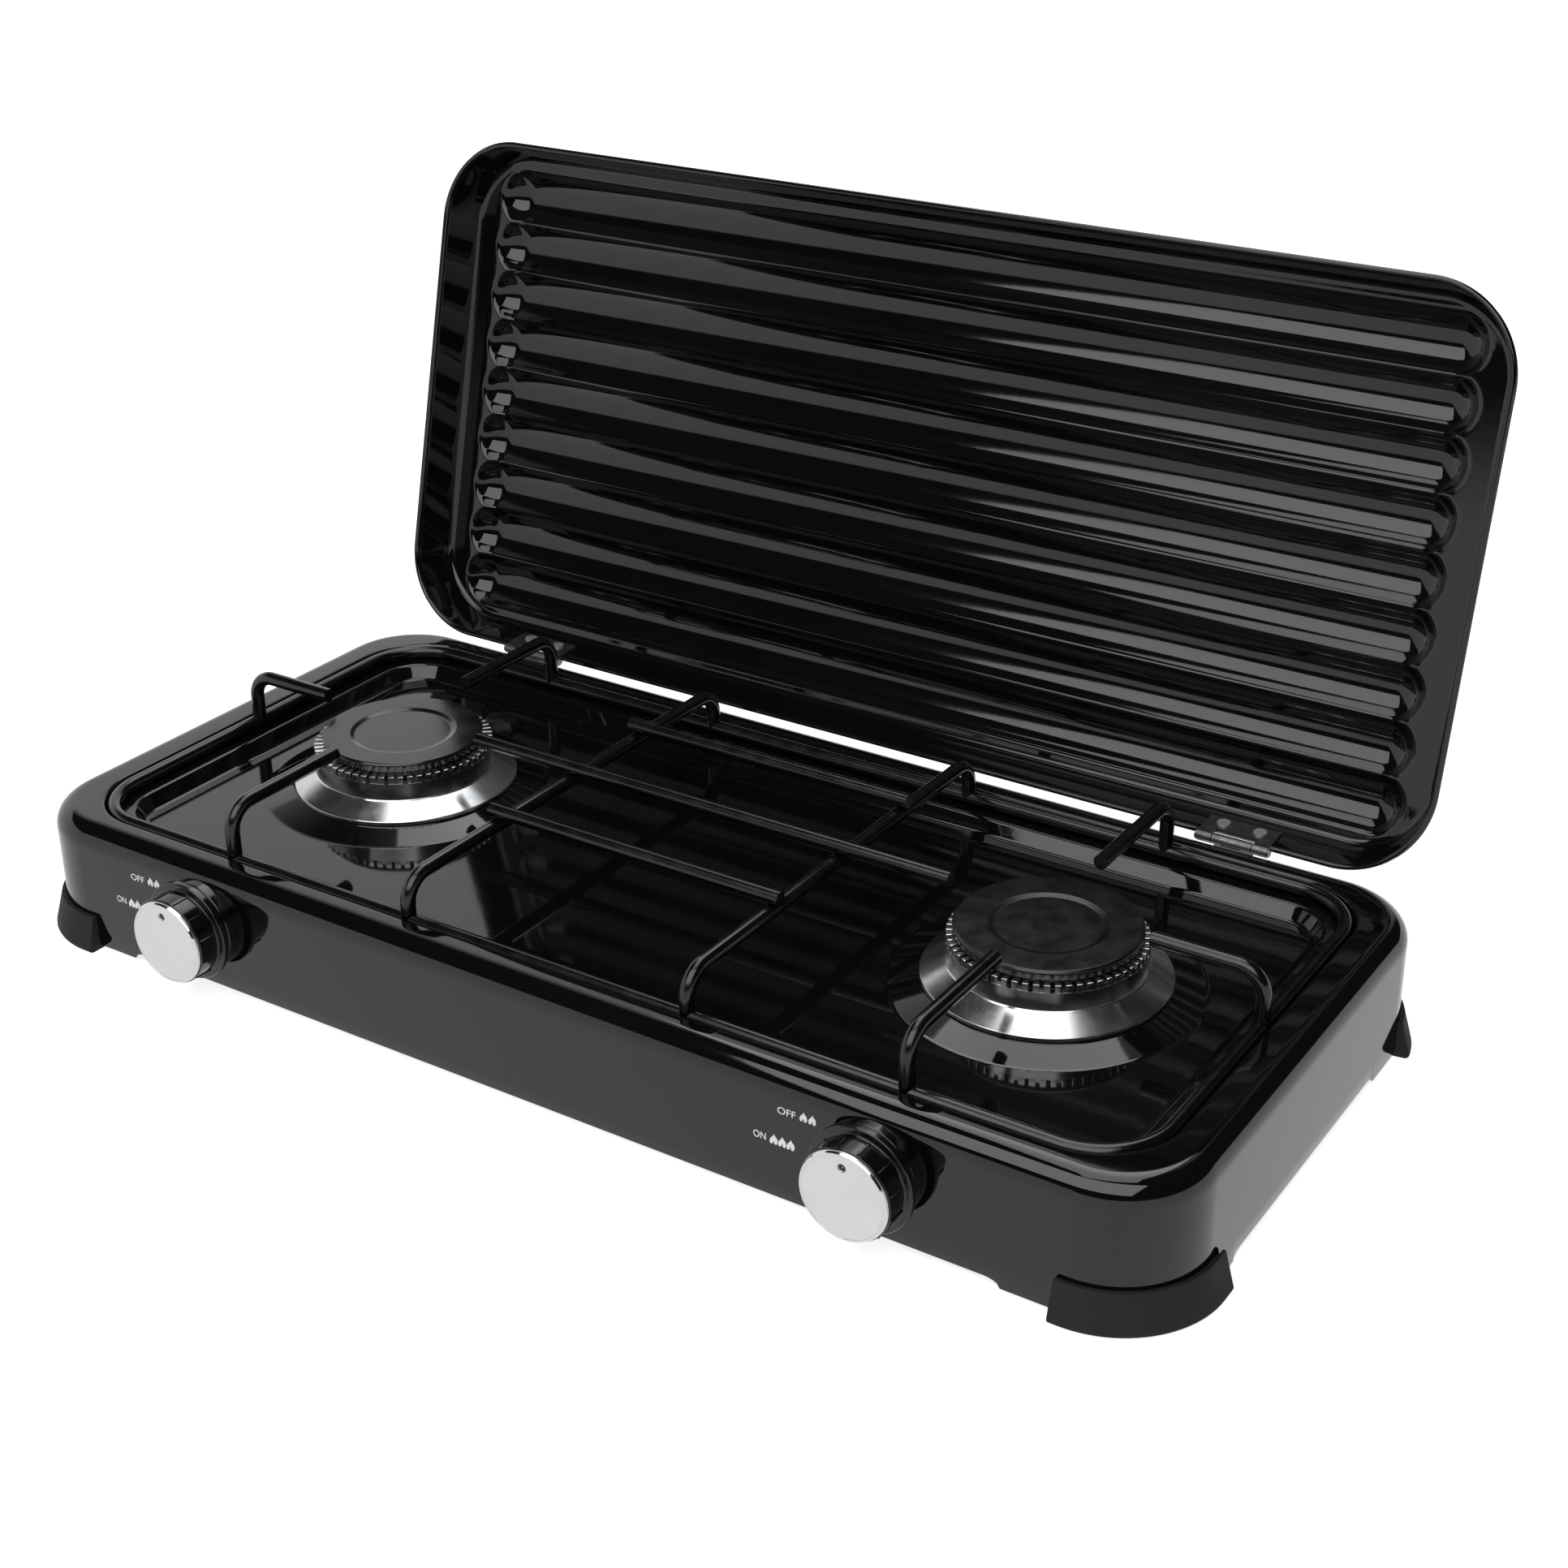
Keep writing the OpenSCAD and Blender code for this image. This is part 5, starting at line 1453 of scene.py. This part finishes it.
@dataclass
class Feet:
    """Four rubber feet that wrap the corners and grip the wall's edge."""

    top: float = 15.6
    top_t: float = 2.0
    base_t: float = 6.4
    edge_r: float = 1.5
    inner: float = 10.0
    arm_x: float = 4.0
    arm_y: float = 7.0
    arm_rear: float = 8.0
    bare_deg: float = 7.5
    slit_l: float = 4.0
    slit_h: float = 4.0
    slit_w: float = 0.8
    grip: float = 0.1
    lip_h: float = 6.0

    def build(self) -> None:
        """Build the four feet."""
        for side in Side:
            for sy, end in ((-1, "front"), (1, "rear")):
                self.foot(side.sign, sy, f"{end}_{side}")

    def section(self) -> list[Pair]:
        """Rounded section of a foot: outward distance from the wall and height.

        Returns:
            The section's points.
        """
        low, high, hold = HOB.z_low, HOB.z_low + self.lip_h, -HOB.sheet - self.grip
        corners = [
            (self.grip, low), (self.grip, self.top - self.slit_h), (self.grip, self.top), (self.top_t, self.top),
            (self.base_t, 0.0), (-self.inner, 0.0), (-self.inner, high), (hold, high), (hold, low), (self.grip, low),
        ]
        return rounded(corners, [0, 0, 0.25, 0.5, self.edge_r, 0.6, 0.8, 0.5, 0, 0], 4)[:-1]

    def stations(self, rear: bool) -> list[tuple[float, float, float, float]]:
        """Places along the wall, from the side round the corner, each with its outward direction.

        Args:
            rear: The foot is a rear one.

        Returns:
            X, Y and direction of each place, for the front right or rear right corner.
        """
        cx, cy = HOB.body_w / 2 - HOB.body_r, HOB.body_d / 2 - HOB.body_r
        out: list[tuple[float, float, float, float]] = []
        bare = self.bare_deg if rear else 0.0
        if not rear:
            for k in (0.0, 0.35, 1.0, 2.5, self.slit_l, self.slit_l + 0.4):
                out.append((cx + HOB.body_r, cy - self.arm_y + k, 1.0, 0.0))
        angles = [bare + (90 - bare) * k / 24 for k in range(25)]
        if rear:
            angles[1:1] = [bare + 0.6, bare + 1.8]
        for degrees in angles:
            c, s = math.cos(math.radians(degrees)), math.sin(math.radians(degrees))
            out.append((cx + HOB.body_r * c, cy + HOB.body_r * s, c, s))
        arm = self.arm_rear if rear else self.arm_x
        for k in (arm - 1.0, arm - 0.35, arm):
            out.append((cx - k, cy + HOB.body_r, 0.0, 1.0))
        return out

    def foot(self, sx: int, sy: int, name: str) -> None:
        """Build one foot.

        Args:
            sx: Side in X.
            sy: Side in Y.
            name: Name of the corner.
        """
        stations = self.stations(sy > 0)
        section = self.section()
        shape = Shape()
        rings = []
        last = len(stations) - 1
        for s, (px, py, nx, ny) in enumerate(stations):
            at_end = s in (0, last)
            ring = []
            for u, z in section:
                if z > self.top - 2:
                    z -= 0.5 if at_end else 0.12 * (s in (1, last - 1))
                if at_end and z < self.top - 2:
                    u -= math.copysign(0.3, u - 1.0) * (u > 0.5 or u < -HOB.sheet - 0.2)
                if s < 5 and sy < 0 and z > self.top - self.slit_h + 0.1 and u < 1.0:
                    u += self.slit_w * (1.0 if s < 4 else 0.4)
                ring.append((sx * (px + nx * u), sy * (py + ny * u), z))
            rings.append(shape.ring(ring))
        for low, high in zip(rings, rings[1:]):
            shape.bridge(low, high)
        shape.cap(rings[0], flip=True)
        shape.cap(rings[-1])
        make_piece(f"rubber_foot_{name}", shape.mesh(), 35, RUBBER, "hob_body", "rubber", f"foot_{name}")


# ---------------------------------------------------------------- marks


@dataclass
class Marks:
    """Printed words and flames beside each knob."""

    depth: float = 0.06
    sunk: float = 0.02
    letter_h: float = 2.9
    stroke: float = 0.004
    rows: tuple[tuple[str, float, float, float, float], ...] = (
        ("OFF", 7.5, 41.8, 42.4, 4.1),
        ("ON", 5.3, 28.6, 28.8, 4.4),
    )
    right: tuple[tuple[float, ...], ...] = ((119.4, 126.3, 129.9), (108.0, 113.9, 117.4, 120.9))
    left: tuple[tuple[float, ...], ...] = ((-196.5, -189.2, -185.6), (-207.9, -202.2, -198.8, -195.4))

    def build(self) -> None:
        """Build all the marks as one thin piece on the front wall: in each row a word and its flames."""
        meshes: list[bpy.types.Mesh] = []
        for places in (self.left, self.right):
            words = [self.word(row[0], xs[0], row[2], row[1]) for row, xs in zip(self.rows, places)]
            meshes += words
            for (_, _, _, z, height), xs in zip(self.rows, places):
                meshes += [self.flame(x, z, height) for x in xs[1:]]
        finished(new_object("printed_marks", join(meshes), PRINT_INK.build()), "hob_body", "knob_aluminium")

    def word(self, text: str, x: float, z: float, width: float) -> bpy.types.Mesh:
        """Print a word.

        Args:
            text: The word.
            x: Middle of the word.
            z: Middle height.
            width: Width of the word.

        Returns:
            Its mesh in the row frame.
        """
        curve = bpy.data.curves.new("word", "FONT")
        curve.body = text
        curve.align_x = curve.align_y = "CENTER"
        curve.resolution_u = 6
        curve.offset = curve.extrude = self.stroke
        source = bpy.data.objects.new("word", curve)
        bpy.context.scene.collection.objects.link(source)
        mesh = evaluated(source)
        bpy.data.objects.remove(source)
        xs, ys = ([v.co[k] for v in mesh.vertices] for k in (0, 1))
        scale, tall = width / (max(xs) - min(xs)), self.letter_h / (max(ys) - min(ys))
        middle, level = (max(xs) + min(xs)) / 2, (max(ys) + min(ys)) / 2
        for v in mesh.vertices:
            y = HOB.front - (self.depth if v.co.z > 0 else -self.sunk)
            v.co = placed((x + (v.co.x - middle) * scale, y, z + (v.co.y - level) * tall))
        return mesh

    def flame(self, x: float, z: float, height: float) -> bpy.types.Mesh:
        """Print a small pointed flame with a notch in its foot.

        Args:
            x: Middle of the flame.
            z: Middle height.
            height: Height of the flame.

        Returns:
            Its mesh in the row frame.
        """
        half = height * 0.4
        outline = [(0.0, -0.12), (0.22, -0.46), (0.72, -0.47), (1.0, -0.16), (0.82, 0.12), (0.36, 0.3), (0.08, 0.5),
                   (-0.16, 0.26), (-0.62, 0.1), (-0.98, -0.2), (-0.8, -0.46), (-0.3, -0.47)]
        shape = Shape()
        near = shape.ring((x + a * half, HOB.front - self.depth, z + b * height) for a, b in outline)
        far = shape.ring((x + a * half, HOB.front + self.sunk, z + b * height) for a, b in outline)
        shape.bridge(near, far)
        shape.cap(near)
        shape.cap(far, flip=True)
        return shape.mesh()


# ---------------------------------------------------------------- fittings


def dress(node: str, finish: Finish) -> None:
    """Give a CAD node a finish in place of its plain material.

    Args:
        node: Name of the node.
        finish: The finish.
    """
    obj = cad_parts[node]
    material = finish.build()
    if obj.material_slots:
        for slot in obj.material_slots:
            slot.material = material
    else:
        obj.data.materials.append(material)
    log.info("%s keeps its CAD shape", node)


def dress_fittings() -> None:
    """Give every CAD node that keeps its shape the finish of the real piece."""
    for finish, names, on_both_sides in (
        (HINGE_STEEL, ("lid_hinge_leaf", "body_hinge_leaf", "hinge_pin"), True),
        (ZINC, ("lid_rivets", "body_rivets", "cup_screws", "tap_straps", "strap_screws", "gas_rail"), False),
        (ZINC, ("tap_spindle", "tap_spring", "tap_nut"), True),
        (CAST_ALUMINIUM, ("burner_cup",), True),
        (BRASS, ("injector", "tap_body", "tap_plug"), True),
        (BRASS, ("hose_nozzle", "nozzle_nut"), False),
        (RUBBER, ("nozzle_seal",), False),
    ):
        for name in names:
            for node in [f"{name}_{side}" for side in Side] if on_both_sides else [name]:
                dress(node, finish)


# ---------------------------------------------------------------- studio


def by_ray(
    tree: bpy.types.NodeTree, rest: bpy.types.Node, seen: bpy.types.Node, gloss: bpy.types.Node
) -> bpy.types.NodeSocket:
    """Choose a shader by the kind of ray.

    Args:
        tree: Node tree to add to.
        rest: Shader for rays that light the object.
        seen: Shader for what the camera sees, also through glass.
        gloss: Shader for reflections.

    Returns:
        The chosen shader.
    """
    path = add(tree, "ShaderNodeLightPath").outputs
    either = {0: path["Is Camera Ray"], 1: path["Is Transmission Ray"]}
    direct = add(tree, "ShaderNodeMath", either, operation="MAXIMUM")
    mix = add(tree, "ShaderNodeMixShader", {0: direct.outputs[0], 1: rest.outputs[0], 2: seen.outputs[0]})
    last = add(tree, "ShaderNodeMixShader", {0: path["Is Glossy Ray"], 1: mix.outputs[0], 2: gloss.outputs[0]})
    return last.outputs[0]


@dataclass
class Studio:
    """Pale floor, soft lamps, the world and the camera; each ramp goes from a span of values to two levels."""

    eye: Point = (512.22, -714.03, 525.13)
    tilt_deg: float = 64.70
    turn_deg: float = 32.11
    lens: float = 56.42
    shift_x: float = -0.0334
    shift_y: float = -0.0355
    floor_half: float = 6.0
    floor_z: float = -0.0002
    floor_glow: Ramp = (0.6, 1.8, 0.74, 1.0)
    daylight: float = 0.16
    lift: Ramp = (-0.72, -0.3, 0.34, 0.0)
    low: Ramp = (0.12, 0.16, 1.0, 0.02)
    behind: Ramp = (0.3, 0.55, 0.02, 1.0)
    left: Ramp = (-0.25, 0.1, 1.0, 0.0)

    def build(self) -> None:
        """Build the camera, the floor, the world and the lamps."""
        self.camera()
        self.floor()
        self.world()
        self.lamp("soft_box", (0.2, -1.12, 1.5), 2.2, 1.5, 31.0)
        self.lamp("top_light", (-0.22, 0.5, 1.85), 1.15, 1.9, 17.0)
        bpy.context.scene.view_settings.view_transform = "Standard"

    def camera(self) -> None:
        """Place the camera at the hob's viewing angle."""
        data = bpy.data.cameras.new("camera")
        data.lens = self.lens
        data.sensor_width = 36.0
        data.shift_x = self.shift_x
        data.shift_y = self.shift_y
        data.clip_start = 0.01
        data.clip_end = 50.0
        camera = bpy.data.objects.new("camera", data)
        camera.location = placed(self.eye)
        camera.rotation_euler = (math.radians(self.tilt_deg), 0.0, math.radians(self.turn_deg))
        bpy.context.scene.collection.objects.link(camera)
        bpy.context.scene.camera = camera

    def floor(self) -> None:
        """Lay the pale floor: white to the camera and in gloss, and a plain pale sheet to everything else."""
        material = bpy.data.materials.new("pale_floor")
        material.use_nodes = True
        tree = material.node_tree
        tree.nodes.clear()
        white = (1, 1, 1, 1)
        diffuse = add(tree, "ShaderNodeBsdfDiffuse", {"Color": linear("f4f4f4")})
        place = add(tree, "ShaderNodeTexCoord")
        away = add(tree, "ShaderNodeVectorMath", {0: place.outputs["Object"]}, operation="LENGTH")
        level = add(tree, "ShaderNodeMapRange", {"Value": away.outputs["Value"], **ramp(*self.floor_glow)})
        glow = add(tree, "ShaderNodeEmission", {"Color": white, "Strength": level.outputs["Result"]})
        plain = add(tree, "ShaderNodeEmission", {"Color": white, "Strength": 1.0})
        lit = add(tree, "ShaderNodeAddShader", {0: diffuse.outputs[0], 1: glow.outputs[0]})
        add(tree, "ShaderNodeOutputMaterial", {"Surface": by_ray(tree, diffuse, lit, plain)})
        mesh = bpy.data.meshes.new("floor")
        size = self.floor_half
        mesh.from_pydata([(-size, -size, 0), (size, -size, 0), (size, size, 0), (-size, size, 0)], [], [(0, 1, 2, 3)])
        obj = new_object("floor", mesh, material)
        obj.location.z = self.floor_z

    def world(self) -> None:
        """Light the world evenly, white where the camera sees it, and in gloss a room with a dark front.

        The room is white below low, which lift raises at the left end, and white where behind and left meet.
        """
        world = bpy.data.worlds.new("studio")
        bpy.context.scene.world = world
        world.use_nodes = True
        tree = world.node_tree
        tree.nodes.clear()
        white = (1, 1, 1, 1)
        plain = add(tree, "ShaderNodeBackground", {"Color": white, "Strength": self.daylight})
        seen = add(tree, "ShaderNodeBackground", {"Color": white, "Strength": 1.0})
        place = add(tree, "ShaderNodeTexCoord")
        way = add(tree, "ShaderNodeSeparateXYZ", {0: place.outputs["Generated"]}).outputs
        lift = add(tree, "ShaderNodeMapRange", {"Value": way["X"], **ramp(*self.lift)}).outputs["Result"]
        sunk = add(tree, "ShaderNodeMath", {0: way["Z"], 1: lift}, operation="SUBTRACT").outputs[0]
        low, behind, left = (
            add(tree, "ShaderNodeMapRange", {"Value": value, **ramp(*ends)}).outputs["Result"]
            for value, ends in ((sunk, self.low), (way["Y"], self.behind), (way["X"], self.left))
        )
        corner = add(tree, "ShaderNodeMath", {0: behind, 1: left}, operation="MULTIPLY").outputs[0]
        level = add(tree, "ShaderNodeMath", {0: low, 1: corner}, operation="MAXIMUM").outputs[0]
        room = add(tree, "ShaderNodeBackground", {"Color": white, "Strength": level})
        add(tree, "ShaderNodeOutputWorld", {"Surface": by_ray(tree, plain, seen, room)})

    @staticmethod
    def lamp(name: str, at: Point, width: float, height: float, power: float) -> None:
        """Hang one rectangular lamp that faces the hob.

        Args:
            name: Name of the lamp.
            at: Its place in metres.
            width: Width in metres.
            height: Height in metres.
            power: Power in watts.
        """
        data = bpy.data.lights.new(name, "AREA")
        data.shape = "RECTANGLE"
        data.size = width
        data.size_y = height
        data.energy = power
        obj = bpy.data.objects.new(name, data)
        obj.location = at
        obj.rotation_euler = (Vector((0.0, 0.0, 0.05)) - Vector(at)).to_track_quat("-Z", "Y").to_euler()
        bpy.context.scene.collection.objects.link(obj)


# ---------------------------------------------------------------- main


def main() -> None:
    """Build the hob, dress it and light it."""
    logging.basicConfig(level=logging.INFO, format="%(message)s")
    BodyShell().build()
    Lid().build()
    Grate().build()
    Burner(Side.LEFT, 34.4, CAP_GLOSS, "black_enamel").build()
    Burner(Side.RIGHT, 36.0, CAP_MATT, "matt_enamel").build()
    for side in Side:
        Knob(side).build()
    Feet().build()
    Marks().build()
    dress_fittings()
    Studio().build()


if __name__ == "__main__":
    main()
